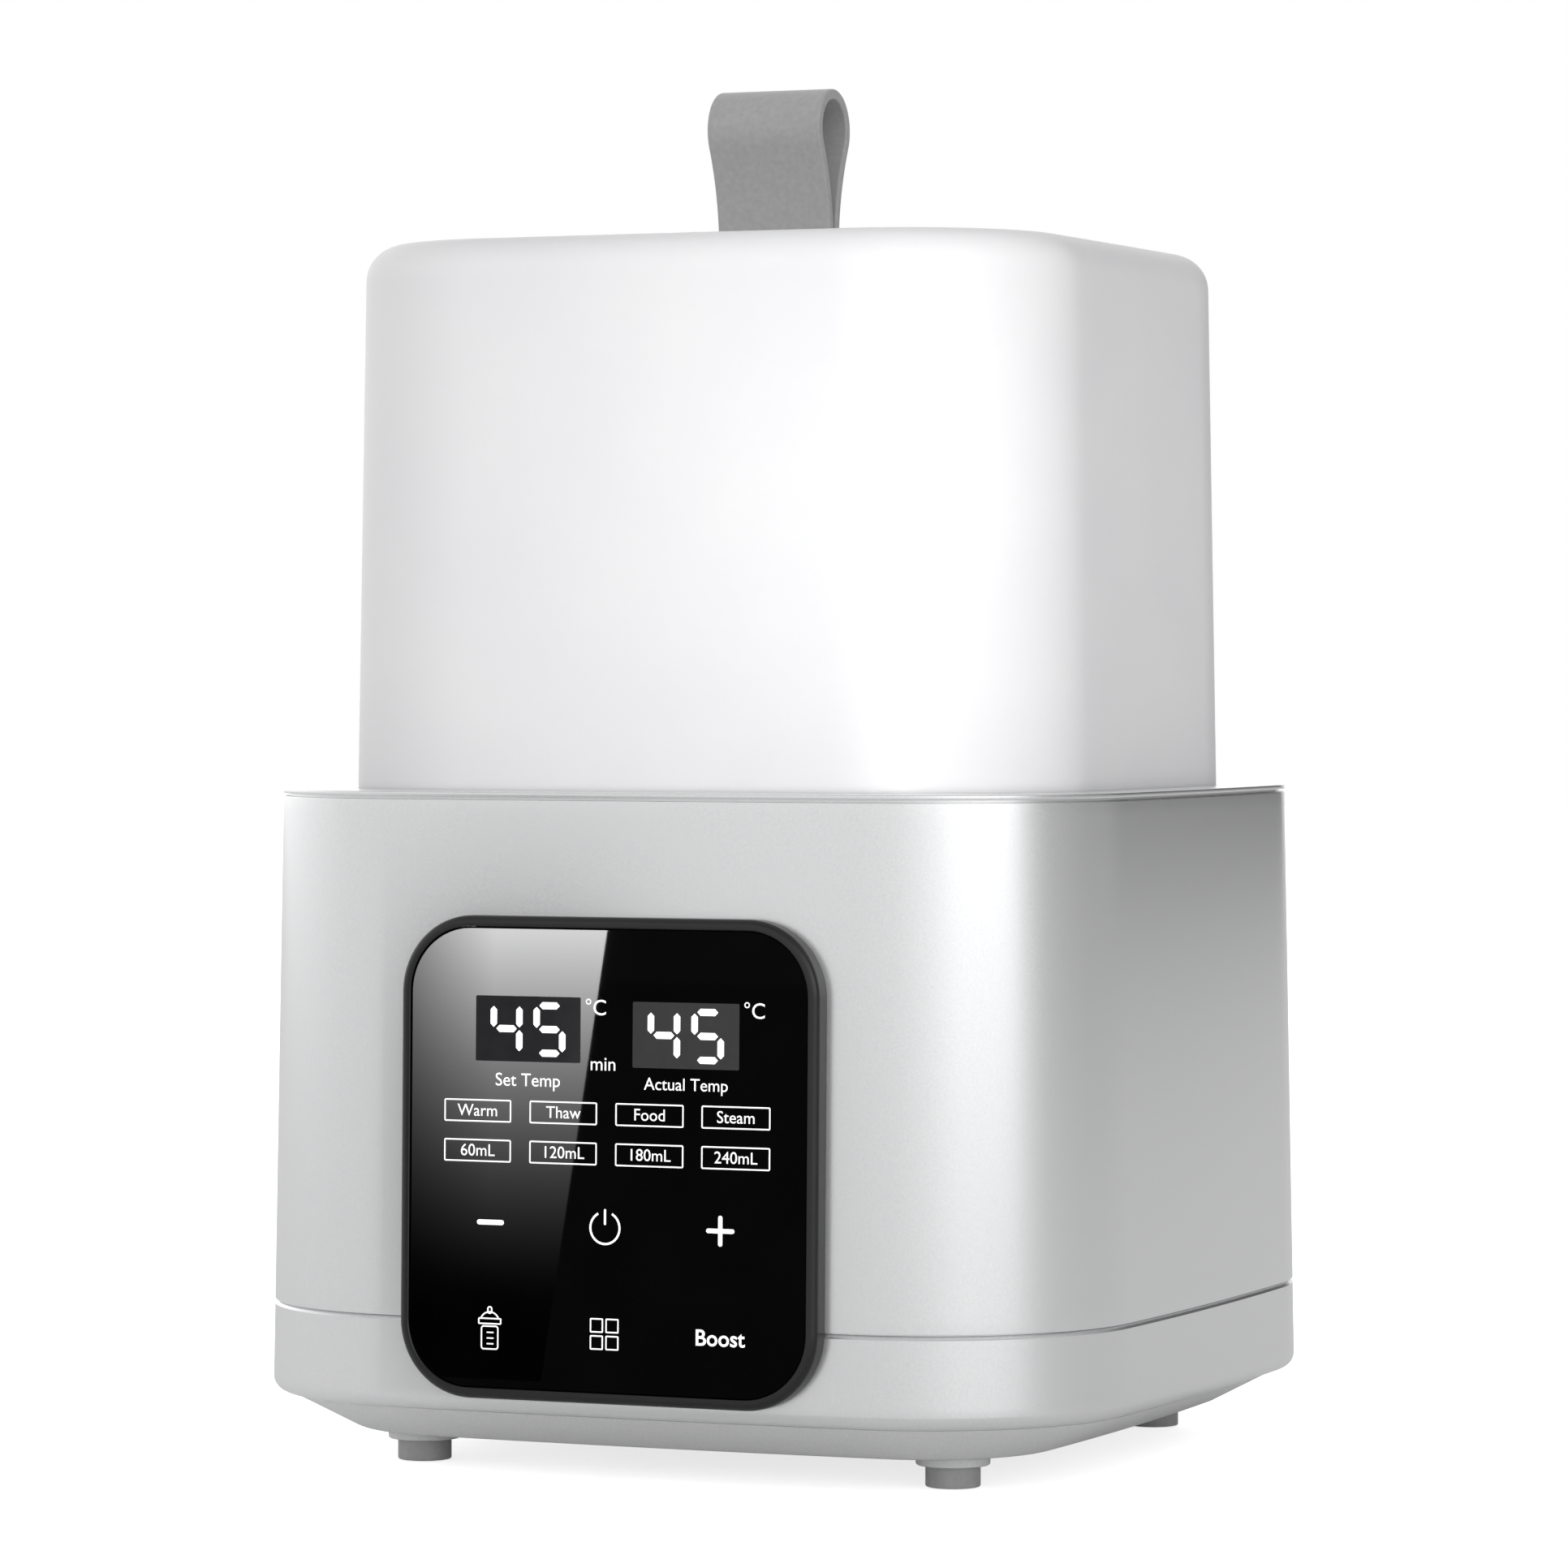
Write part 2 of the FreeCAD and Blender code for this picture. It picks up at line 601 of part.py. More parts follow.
def foot_post(x, y):
    """A screw post over a foot, tied to the wall by a web towards the casing's corner."""
    high = FOOT_POST_H - COVER_RISE
    post = disc(FOOT_POST_R, CASING_Z, CASING_Z + high, x, y)
    web_h = high - FOOT_WEB_LIFT - FOOT_WEB_DROP
    corner = V(0, -FOOT_WEB_T / 2, CASING_Z + FOOT_WEB_LIFT)
    web = Part.makeBox(FOOT_WEB_REACH, FOOT_WEB_T, web_h, corner)
    web.rotate(V(0, 0, 0), UP, math.degrees(math.atan2(y, x)))
    web.translate(V(x, y, 0))
    return post.fuse(web)


def bottom_cover():
    edge = CASING_BOTTOM_R + COVER_EDGE_GAP
    low_offset = casing_offset(CASING_Z) - edge
    dish = CASING.taper(low_offset - COVER_INSET, COVER_Z, low_offset, CASING_Z)
    rim = CASING.prism(low_offset, CASING_Z, CASING_Z + CASING_BOTTOM_R)
    inner_low = low_offset - COVER_INSET - COVER_SLOPE_EXTRA
    inner_high = low_offset - COVER_T - COVER_RIM_EXTRA
    hollow = CASING.taper(inner_low, COVER_TOP_Z, inner_high, CASING_Z)
    rim_hollow = CASING.prism(inner_high, CASING_Z, CASING_Z + CASING_BOTTOM_R + CUT)
    bosses = [disc(FOOT_BOSS_R, FOOT_PAD_H, COVER_Z, x, y) for _, x, y in FEET]
    seats = [disc(FOOT_POST_R, COVER_Z, CASING_Z, x, y) for _, x, y in FEET]
    pegs = [disc(BOARD_PEG_R, COVER_TOP_Z - SINK, BOARD_Z, x, y) for x, y in board_holes()]
    cover = fused([dish.cut(hollow), rim.cut(rim_hollow)] + bosses + seats + pegs)
    seat = FOOT_PAD_H + SCREW_HEAD_T + FOOT_SCREW_SEAT
    heads = [disc(SCREW_HEAD_R + SCREW_HEAD_FIT, 0, seat, x, y) for _, x, y in FEET]
    shanks = [disc(SCREW_R + SCREW_HEAD_FIT, 0, CASING_Z + CUT, x, y) for _, x, y in FEET]
    pilots = [disc(SCREW_R, COVER_TOP_Z + SINK, BOARD_Z + CUT, x, y) for x, y in board_holes()]
    return cover.cut(heads + shanks + pilots + vent_slots())


def vent_slots():
    """Two rows of cooling slots through the flat of the cover."""
    slots = []
    for row_y in VENT_ROWS_Y:
        for i in range(VENTS_IN_ROW):
            x = (i - (VENTS_IN_ROW - 1) / 2) * VENT_PITCH
            low, high = COVER_Z - CUT, COVER_TOP_Z + CUT
            slots.append(slab(VENT_HALF_W, VENT_HALF_L, VENT_END_R, low, high, x, row_y))
    return slots


def foot_pad(x, y):
    pad = disc(FOOT_PAD_R, 0, FOOT_PAD_H, x, y)
    return pad.makeFillet(FOOT_PAD_EDGE_R, edges_at(pad, 0))


def cover_screws():
    head_z = FOOT_PAD_H + FOOT_SCREW_SEAT
    return Part.makeCompound([pan_screw(x, y, head_z, FOOT_SCREW_L) for _, x, y in FEET])


# ---- tank and basket ---------------------------------------------------------
def tank_block(inset, low, bottom_r):
    shape = LID.prism(-TANK_INSET - inset, low, FLANGE_Z)
    return shape.makeFillet(bottom_r, edges_at(shape, low))


def clamp_points():
    angles = [math.radians(a) for a in range(45, 360, 90)]
    return [(CLAMP_SCREW_R * math.cos(a), CLAMP_SCREW_R * math.sin(a)) for a in angles]


def water_tank():
    outer = tank_block(-TANK_WALL, TANK_UNDER_Z, TANK_FLOOR_R + TANK_WALL)
    inner = LID.prism(-TANK_INSET, TANK_FLOOR_Z, SEAL_Z + CUT)
    inner = inner.makeFillet(TANK_FLOOR_R, edges_at(inner, TANK_FLOOR_Z))
    flange = LID.ring(LID_FIT + TUB_T, -TANK_INSET, FLANGE_Z - TANK_FLANGE_T, FLANGE_Z)
    bosses = [disc(CLAMP_BOSS_R, PLATE_Z, TANK_UNDER_Z + SINK, x, y) for x, y in clamp_points()]
    ears = [disc(TANK_EAR_R, FLANGE_Z - TANK_FLANGE_T, FLANGE_Z, x, y) for x, y in tank_screw_points()]
    tank = fused([outer, flange] + bosses + ears).cut(inner)
    pilots = [disc(SCREW_R, PLATE_Z - CUT, TANK_UNDER_Z + PILOT_SKIN, x, y) for x, y in clamp_points()]
    ear_z = FLANGE_Z - TANK_FLANGE_T
    pilots += [disc(SCREW_HOLE_R, ear_z - CUT, FLANGE_Z + CUT, x, y) for x, y in tank_screw_points()]
    opening = disc(FLOOR_OPENING_R, PLATE_Z, TANK_FLOOR_Z + CUT)
    return tank.cut(pilots + [opening])


def tank_screws():
    head_z = FLANGE_Z - TANK_FLANGE_T - SCREW_HEAD_T
    return Part.makeCompound([pan_screw(x, y, head_z, TANK_SCREW_L) for x, y in tank_screw_points()])


def tank_seal():
    return LID.ring(LID_FIT + TUB_T - SINK, -TANK_INSET, FLANGE_Z, SEAL_Z)


def plate_gasket():
    flat = washer(PLATE_R, FLOOR_OPENING_R - GASKET_LIP_T, PLATE_TOP_Z, TANK_UNDER_Z)
    lip = washer(FLOOR_OPENING_R, FLOOR_OPENING_R - GASKET_LIP_T, TANK_UNDER_Z, TANK_FLOOR_Z)
    return flat.fuse(lip).removeSplitter()


def heating_plate():
    plate = disc(PLATE_R, PLATE_Z, PLATE_TOP_Z)
    high = PLATE_TOP_Z + CROWN_H
    crown = disc(FLOOR_OPENING_R - GASKET_LIP_T - CROWN_GAP, PLATE_TOP_Z, high)
    return fused([plate, crown.makeFillet(CROWN_EDGE_R, edges_at(crown, high))])


def element_ring(rod_r):
    ring = Part.makeTorus(ELEMENT_R, rod_r, V(0, 0, SPREADER_Z), UP, -180, 180, ELEMENT_ARC)
    ring.rotate(V(0, 0, 0), UP, 90 + (360 - ELEMENT_ARC) / 2)
    return ring


def heat_spreader():
    body = disc(SPREADER_R, SPREADER_Z, PLATE_Z)
    probe = disc(SENSOR_R + SENSOR_FIT, SPREADER_Z - CUT, PLATE_Z + CUT)
    return body.cut([element_ring(ELEMENT_ROD_R), probe])


def element_ends():
    turn = math.radians((360 - ELEMENT_ARC) / 2)
    x = ELEMENT_R * math.sin(turn)
    y = ELEMENT_R * math.cos(turn)
    return ((-x, y), (x, y))


def heater_element():
    low = SPREADER_Z - ELEMENT_ROD_R
    pins = [disc(ELEMENT_PIN_R, low - ELEMENT_PIN_H, SPREADER_Z, x, y) for x, y in element_ends()]
    caps = [disc(ELEMENT_CAP_R, low - ELEMENT_CAP_H, SPREADER_Z, x, y) for x, y in element_ends()]
    return fused([element_ring(ELEMENT_ROD_R)] + pins + caps)


def heater_clamp():
    ring = washer(CLAMP_R, SPREADER_R + CLAMP_GAP, CLAMP_Z, PLATE_Z)
    return ring.cut([disc(SCREW_HOLE_R, CLAMP_Z - CUT, PLATE_Z + CUT, x, y) for x, y in clamp_points()])


def heater_screws():
    head_z = CLAMP_Z - SCREW_HEAD_T
    return Part.makeCompound([pan_screw(x, y, head_z, CLAMP_SCREW_L) for x, y in clamp_points()])


def thermostat():
    cap_z = SPREADER_Z - STAT_CAP_H
    body_z = cap_z - STAT_BODY_H
    cap = disc(STAT_CAP_R, cap_z, SPREADER_Z, STAT_X, 0)
    body = disc(STAT_BODY_R, body_z, cap_z, STAT_X, 0)
    tab_z = body_z + SINK - STAT_TAB[2]
    tabs = [block(STAT_X, y, tab_z, *STAT_TAB) for y in (-STAT_TAB_Y, STAT_TAB_Y)]
    return fused([cap, body] + tabs)


def thermal_fuse():
    z = SPREADER_Z - FUSE_R - FUSE_GAP
    half = FUSE_L / 2
    body = Part.makeCylinder(FUSE_R, FUSE_L, V(FUSE_X - half, FUSE_Y, z), SIDE)
    reach = half + FUSE_LEAD_L
    leads = Part.makeCylinder(FUSE_LEAD_R, 2 * reach, V(FUSE_X - reach, FUSE_Y, z), SIDE)
    return fused([body, leads])


def temperature_sensor():
    flange_z = SPREADER_Z - SENSOR_SINK - SENSOR_FLANGE_T
    probe = disc(SENSOR_R, SPREADER_Z - SENSOR_SINK, PLATE_Z)
    flange = disc(SENSOR_FLANGE_R, flange_z, SPREADER_Z)
    stub = disc(SENSOR_STUB_R, flange_z - SENSOR_STUB_H, flange_z)
    return fused([probe, flange, stub])


def bottle_basket():
    floor = LID.prism(-TANK_INSET - BASKET_FIT, BASKET_FLOOR_Z, WELL_Z)
    wells = [washer(WELL_R + WELL_WALL, WELL_R, WELL_Z, WELL_Z + WELL_H, s * WELL_X, 0) for s in (-1, 1)]
    web_y = math.sqrt((WELL_R + WELL_WALL) ** 2 - (WELL_X - WEB_W / 2) ** 2)
    web = block(0, 0, WELL_Z, WEB_W, 2 * web_y, WELL_H)
    web = web.cut([disc(WELL_R, WELL_Z - CUT, WELL_Z + WELL_H + CUT, s * WELL_X, 0) for s in (-1, 1)])
    foot_x = LID_HALF_X - BASKET_FOOT_INSET_X
    foot_y = LID_HALF_Y - BASKET_FOOT_INSET_Y
    corners = [(sx * foot_x, sy * foot_y) for sx in (-1, 1) for sy in (-1, 1)]
    feet = [disc(BASKET_FOOT_R, BASKET_Z, BASKET_FLOOR_Z, x, y) for x, y in corners]
    basket = fused([floor, web] + wells + feet + [basket_grip(s) for s in (-1, 1)])
    return basket.cut(well_slots() + floor_holes())


def basket_grip(side):
    """An upright lifting grip with a finger slot, at the front or the back of the basket."""
    height = GRIP_TOP_Z - BASKET_FLOOR_Z
    half_w = GRIP_W / 2
    open_w = half_w - GRIP_POST_W
    plate = slab(half_w, height / 2, GRIP_CORNER_R, 0, GRIP_T)
    slot_y = height / 2 - GRIP_SLOT_DROP
    slot = slab(open_w, GRIP_SLOT_HALF_H, GRIP_SLOT_R, -CUT, GRIP_T + CUT, 0, slot_y)
    window_h = height / 2 - GRIP_WINDOW_LESS
    window = slab(open_w, window_h, GRIP_WINDOW_R, -CUT, GRIP_T + CUT, 0, -GRIP_WINDOW_DROP)
    plate = plate.cut([slot, window])
    plate.rotate(V(0, 0, 0), SIDE, 90)
    plate.translate(V(0, side * GRIP_Y + GRIP_T / 2, BASKET_FLOOR_Z + height / 2))
    return plate


def well_slots():
    slots = []
    for side in (-1, 1):
        for i in range(WELL_SLOTS):
            angle = 180 * (1 - side) / 2 + (i - (WELL_SLOTS - 1) / 2) * WELL_SLOT_PITCH
            half_w = WELL_SLOT_W / 2
            depth = WELL_WALL + CUT
            slot = slab(half_w, WELL_H / 2 - WELL_SLOT_MARGIN, half_w - TINY, -depth, depth)
            slot.rotate(V(0, 0, 0), SIDE, 90)
            slot.rotate(V(0, 0, 0), UP, 90)
            slot.translate(V(WELL_R, 0, WELL_Z + WELL_H / 2))
            slot.rotate(V(0, 0, 0), UP, angle)
            slot.translate(V(side * WELL_X, 0, 0))
            slots.append(slot)
    return slots


def floor_holes():
    holes = []
    for side in (-1, 1):
        for ring in range(BASKET_HOLE_RINGS):
            count = max(1, ring * 6)
            for i in range(count):
                angle = math.radians(360 * i / count)
                x = side * WELL_X + ring * BASKET_HOLE_PITCH * math.cos(angle)
                y = ring * BASKET_HOLE_PITCH * math.sin(angle)
                holes.append(disc(BASKET_HOLE_R, BASKET_FLOOR_Z - CUT, WELL_Z + CUT, x, y))
    return holes


# ---- panel -------------------------------------------------------------------
def panel_bezel():
    flange = slab(PANEL_HALF_W, PANEL_HALF_H, PANEL_CORNER_R, -PANEL_PROUD, PANEL_PROUD)
    flange = flange.makeFillet(BEZEL_EDGE_R, edges_at(flange, PANEL_PROUD))
    inner_w = GLASS_HALF_W + GLASS_GAP
    inner_h = GLASS_HALF_H + GLASS_GAP
    pocket = slab(inner_w, inner_h, GLASS_CORNER_R + GLASS_GAP, BEZEL_FLOOR, PANEL_PROUD + CUT)
    flange = on_panel(flange.cut(pocket)).cut(casing_block(0, CASING_Z, SHELL_TOP_Z))
    box = slab(BOX_HALF_W, BOX_HALF_H, BOX_CORNER_R, -BOX_DEPTH, BEZEL_FLOOR)
    well = box_well(-BOX_DEPTH - CUT, PANEL_PROUD)
    bosses = [disc(PANEL_BOSS_R, BOARD_FACE, BEZEL_FLOOR, x, y) for x, y in panel_screw_points()]
    bezel = fused([flange, on_panel(box)]).cut(on_panel(well))
    bezel = fused([bezel] + [on_panel(b) for b in bosses])
    return bezel.cut([on_panel(disc(SCREW_R, BOARD_FACE - CUT, 0, x, y)) for x, y in panel_screw_points()])


def box_well(low, high):
    """The inside of the box behind the panel."""
    return slab(BOX_HALF_W - BOX_WALL, BOX_HALF_H - BOX_WALL, BOX_CORNER_R - BOX_WALL, low, high)


def panel_screw_points():
    x = BOX_HALF_W - BOX_WALL - PANEL_SCREW_INSET
    y = BOX_HALF_H - BOX_WALL - PANEL_SCREW_INSET
    return [(sx * x, sy * y) for sx in (-1, 1) for sy in (-1, 1)]


def panel_glass():
    return on_panel(slab(GLASS_HALF_W, GLASS_HALF_H, GLASS_CORNER_R, GLASS_BACK, GLASS_FRONT))


def glass_tape():
    half_w = GLASS_HALF_W - TAPE_INSET
    half_h = GLASS_HALF_H - TAPE_INSET
    sheet = slab(half_w, half_h, GLASS_CORNER_R - TAPE_INSET, BEZEL_FLOOR, GLASS_BACK)
    return on_panel(sheet.cut(box_well(0, PANEL_PROUD)))


def control_board():
    half_w = BOX_HALF_W - BOX_WALL - BOARD_GAP
    half_h = BOX_HALF_H - BOX_WALL - BOARD_GAP
    board = slab(half_w, half_h, BOARD_CORNER_R, -BOX_DEPTH, BOARD_FACE)
    holes = [disc(SCREW_HOLE_R, -BOX_DEPTH - CUT, 0, x, y) for x, y in panel_screw_points()]
    return on_panel(board.cut(holes))


def panel_screws():
    head = -BOX_DEPTH - SCREW_HEAD_T
    screws = [pan_screw(x, y, head, PANEL_SCREW_L) for x, y in panel_screw_points()]
    return Part.makeCompound([on_panel(s) for s in screws])


def digit_display(side):
    depth = GLASS_BACK - BEHIND_GLASS_GAP - BOARD_FACE
    return on_panel(block(side * DIGIT_X, DIGIT_Z, BOARD_FACE, DIGIT_W, DIGIT_H, depth))


def light_guide():
    """A dark frame that keeps each lit label's light to itself."""
    depth = GLASS_BACK - BEHIND_GLASS_GAP - BOARD_FACE
    width = 2 * LABEL_ROW_X + LABEL_W + 2 * LABEL_FRAME_X
    height = LABEL_Z[0] - LABEL_Z[1] + LABEL_H + 2 * LABEL_FRAME_Z
    frame = block(0, sum(LABEL_Z) / 2, BOARD_FACE, width, height, depth)
    low, tall = BOARD_FACE - CUT, depth + 2 * CUT
    holes = [block(x, z, low, LABEL_W, LABEL_H, tall) for x in LABEL_X for z in LABEL_Z]
    return on_panel(frame.cut(holes))


def touch_springs():
    hole_r = SPRING_R - SPRING_WALL
    springs = [washer(SPRING_R, hole_r, BOARD_FACE, GLASS_BACK, x, z) for x in KEY_X for z in KEY_Z]
    return Part.makeCompound([on_panel(s) for s in springs])


def buzzer():
    low = -BOX_DEPTH - BUZZER_H
    return on_panel(washer(BUZZER_R, BUZZER_HOLE_R, low, -BOX_DEPTH, *BUZZER_AT))


# ---- cord gland and electronics ----------------------------------------------
def rear_wall_y():
    return CASING_HALF_Y + casing_offset(GLAND_Z)


def along_y(radius, start, end):
    return Part.makeCylinder(radius, end - start, V(GLAND_X, start, GLAND_Z), BACK)


def cord_gland():
    wall = rear_wall_y()
    body = along_y(GLAND_BODY_R, wall - GLAND_INSIDE, wall + GLAND_PROUD)
    collar = along_y(GLAND_COLLAR_R, wall - CASING_WALL, wall + GLAND_PROUD)
    rim = [e for e in collar.Edges if abs(e.BoundBox.YMin - wall - GLAND_PROUD) < TINY]
    collar = collar.makeFillet(GLAND_EDGE_R, rim).cut(casing_block(0, CASING_Z - CUT, SEAM_Z + CUT))
    bore = along_y(GLAND_BORE_R, wall - GLAND_INSIDE - CUT, wall + GLAND_PROUD + CUT)
    return fused([body, collar]).cut(bore)


def nut_seat_y():
    """Where the nut bears on the inside of the rear wall, clear of the wall's bow."""
    return rear_wall_y() - CASING_WALL - NUT_BOW


def gland_pocket():
    """Room for the nut in the casing's inner ledge and lip."""
    return along_y(NUT_ACROSS / math.sqrt(3) + NUT_CLEAR, nut_seat_y() - NUT_T - NUT_ROOM, nut_seat_y())


def gland_nut():
    start = nut_seat_y() - NUT_T
    corner_r = NUT_ACROSS / math.sqrt(3)
    turns = [math.radians(60 * i) for i in range(7)]
    corners = [V(corner_r * math.cos(a), 0, corner_r * math.sin(a)) for a in turns]
    nut = Part.Face(Part.makePolygon(corners)).extrude(V(0, NUT_T, 0))
    nut.translate(V(GLAND_X, start, GLAND_Z))
    return nut.cut(along_y(GLAND_BODY_R, start - CUT, start + NUT_T + CUT))


def board_holes():
    x = BOARD_W / 2 - BOARD_HOLE_INSET
    y = BOARD_D / 2 - BOARD_HOLE_INSET
    return [(sx * x, BOARD_Y + sy * y) for sx in (-1, 1) for sy in (-1, 1)]


def power_board():
    board = slab(BOARD_W / 2, BOARD_D / 2, BOARD_EDGE_R, BOARD_Z, BOARD_TOP_Z, 0, BOARD_Y)
    low, high = BOARD_Z - CUT, BOARD_TOP_Z + CUT
    return board.cut([disc(SCREW_HOLE_R, low, high, x, y) for x, y in board_holes()])


def board_screws():
    head_z = BOARD_TOP_Z + SCREW_HEAD_T
    return Part.makeCompound([pan_screw(x, y, head_z, BOARD_SCREW_L, -1) for x, y in board_holes()])


def on_board(at, size, lift=0.0):
    """A block on the power board; its place is measured from the board's middle."""
    return block(at[0], BOARD_Y + at[1], BOARD_TOP_Z + lift, *size)


def relay():
    return on_board(RELAY_AT, RELAY)


def transformer():
    core = on_board(TRANSFORMER_AT, TRANSFORMER_CORE)
    return fused([core, on_board(TRANSFORMER_AT, TRANSFORMER_COIL, COIL_LIFT)])


def capacitor():
    high = BOARD_TOP_Z + CAPACITOR_H
    can = disc(CAPACITOR_R, BOARD_TOP_Z, high, CAPACITOR_AT[0], BOARD_Y + CAPACITOR_AT[1])
    return can.makeFillet(CAPACITOR_EDGE_R, edges_at(can, high))


def terminal_block():
    x, y = TERMINAL_AT[0], BOARD_Y + TERMINAL_AT[1]
    low, high = BOARD_TOP_Z + TERMINAL_FLOOR, BOARD_TOP_Z + TERMINAL[2] + CUT
    holes = [disc(TERMINAL_HOLE_R, low, high, x + dx, y) for dx in TERMINAL_HOLE_X]
    return on_board(TERMINAL_AT, TERMINAL).cut(holes)


# ---- write every piece -------------------------------------------------------
def pieces():
    made = {
        "lid_dome": lid_dome(),
        "lid_strap": lid_strap(),
        "strap_retainer": strap_retainer(),
        "strap_screws": strap_screws(),
        "top_deck": top_deck(),
        "outer_shell": outer_shell(),
        "lower_casing": lower_casing(),
        "bottom_cover": bottom_cover(),
        "cover_screws": cover_screws(),
        "water_tank": water_tank(),
        "tank_screws": tank_screws(),
        "tank_seal": tank_seal(),
        "plate_gasket": plate_gasket(),
        "heating_plate": heating_plate(),
        "heat_spreader": heat_spreader(),
        "heater_element": heater_element(),
        "heater_clamp": heater_clamp(),
        "heater_screws": heater_screws(),
        "thermostat": thermostat(),
        "thermal_fuse": thermal_fuse(),
        "temperature_sensor": temperature_sensor(),
        "bottle_basket": bottle_basket(),
        "panel_bezel": panel_bezel(),
        "panel_glass": panel_glass(),
        "glass_tape": glass_tape(),
        "control_board": control_board(),
        "panel_screws": panel_screws(),
        "digit_display_left": digit_display(-1),
        "digit_display_right": digit_display(1),
        "light_guide": light_guide(),
        "touch_springs": touch_springs(),
        "buzzer": buzzer(),
        "cord_gland": cord_gland(),
        "gland_nut": gland_nut(),
        "power_board": power_board(),
        "board_screws": board_screws(),
        "relay": relay(),
        "transformer": transformer(),
        "capacitor": capacitor(),
        "terminal_block": terminal_block(),
    }
    for name, x, y in FEET:
        made["foot_pad_" + name] = foot_pad(x, y)
    return made


os.makedirs("parts", exist_ok=True)
for node, shape in pieces().items():
    shape.exportStep("parts/" + node + ".step")
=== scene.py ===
import json
import math

import bmesh
import bpy
from mathutils import Matrix, Vector

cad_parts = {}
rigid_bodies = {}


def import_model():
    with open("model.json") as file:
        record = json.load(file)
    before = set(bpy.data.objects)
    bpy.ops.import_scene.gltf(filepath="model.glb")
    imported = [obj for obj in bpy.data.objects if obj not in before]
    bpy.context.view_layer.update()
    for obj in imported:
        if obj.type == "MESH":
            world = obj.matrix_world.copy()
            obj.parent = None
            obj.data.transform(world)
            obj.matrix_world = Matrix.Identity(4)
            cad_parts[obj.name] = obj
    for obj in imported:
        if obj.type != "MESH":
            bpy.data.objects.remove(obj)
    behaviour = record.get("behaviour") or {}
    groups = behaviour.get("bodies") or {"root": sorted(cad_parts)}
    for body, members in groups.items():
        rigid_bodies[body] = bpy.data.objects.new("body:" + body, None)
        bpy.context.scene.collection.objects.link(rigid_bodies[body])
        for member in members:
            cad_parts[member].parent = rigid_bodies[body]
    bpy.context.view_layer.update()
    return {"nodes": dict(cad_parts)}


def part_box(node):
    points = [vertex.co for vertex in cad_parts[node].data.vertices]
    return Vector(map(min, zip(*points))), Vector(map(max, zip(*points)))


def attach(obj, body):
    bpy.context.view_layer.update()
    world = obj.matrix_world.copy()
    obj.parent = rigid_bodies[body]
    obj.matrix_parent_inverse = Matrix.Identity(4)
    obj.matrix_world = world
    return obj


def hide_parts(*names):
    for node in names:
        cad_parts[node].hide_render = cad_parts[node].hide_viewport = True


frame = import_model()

MM = 0.001

# ---- sizes, in millimetres ----------------------------------------------------
# Outlines are rounded rectangles whose sides bow outwards on a large arc.
CASING_CORNER_R = 41.0
CASING_SIDE_R = 1000.0
CASING_DRAFT = 0.018
CASING_WALL = 2.4
CASING_BOTTOM_R = 2.8
SEAM_CHAMFER = 0.7
SEAM_ROUND = 0.42
SEAM_GAP = 0.15
BASE_LIP_IN = 3.05
BASE_LEDGE_IN = 6.8
BASE_LEDGE_T = 1.95
GLAND_HOLE_R = 5.4
LID_CORNER_R = 39.0
LID_SIDE_R = 3500.0
LID_DRAFT = 0.017
LID_WALL = 2.0
LID_TOP_R = 7.3
LID_RIM_R = 0.5
LID_FIT = 0.4
TUB_T = 2.0
TANK_INSET = 3.4
DECK_EDGE_H = 0.85
DECK_EDGE_R = 0.3
DECK_FOOT_R = 0.1
DECK_LAND = 1.2
DECK_SHADOW_GAP = 0.65
RECESS_EDGE_R = 0.35
LEDGE_T = 1.6
LEDGE_DEPTH = 3.05
LEDGE_BEVEL = 0.3
SHELL_EDGE_R = 0.2
COVER_T = 2.0
COVER_INSET = 14.3
COVER_GAP = 3.2
COVER_BEND_R = 6.0
COVER_LIP = 0.8
COVER_INNER_BEND = 0.6
COVER_MIDDLE_IN = 8.0
COVER_SLOPE_ROW = 7.0
FOOT_BOSS_R = 7.3
FOOT_BOSS_H = 2.25
FOOT_BOSS_EDGE = 0.5
PAD_RING = 1.8
PAD_SLOPE = 0.5
PAD_RECESS = 0.6
PAD_EDGE = 0.35
VENT_COUNT = 7
VENT_STEP = 6.5
VENT_ROW_Y = 38.0
VENT_HALF_W = 1.2
VENT_HALF_L = 7.0
STRAP_T = 2.1
# The strap's finished face lies this far inside the frame's, in all
STRAP_SKIN = 0.02
STRAP_HALF_GAP = 0.25
STRAP_LOOP_R = 7.2
STRAP_LOOP_H = 24.8
STRAP_FLANGE = 7.0
STRAP_BEND = 1.35
STRAP_EDGE = 0.45
SLOT_FIT = 0.2
SLOT_CORNER_R = 0.8
PANEL_PROUD = 3.6
PANEL_HALF_W = 44.25
PANEL_HALF_H = 47.0
PANEL_CORNER_R = 15.0
PANEL_CENTRE_Z = 64.1
BEZEL_BORDER = 2.1
BEZEL_EDGE_R = 1.4
BEZEL_FLOOR = 1.3
BEZEL_LIP = 0.15
BEZEL_ROOT = 2.5
GLASS_DROP = 0.35
GLASS_GAP = 0.12
GLASS_BED = 0.2
GLASS_EDGE = 0.3
BOX_HALF_W = 39.0
BOX_HALF_H = 42.0
BOX_CORNER_R = 2.7
BOX_WALL = 1.5
BOX_DEPTH = 8.4
BOX_FIT = 0.3
BOX_ROOM = 2.0
BOX_SINK = 0.3

# How far a cutting shape passes the wall that it cuts
REACH = 3.0
# How far from a curve a row of points holds the straight wall
HOLD = 3.0

# Steps round each arc of an outline: enough that no facet shows
SIDE_STEPS = 16
CORNER_STEPS = 22
# Points closer than this are one point
MERGE = 0.02
# Outlines at one height are set this far apart
STEP = 0.05


def low(node):
    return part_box(node)[0] / MM


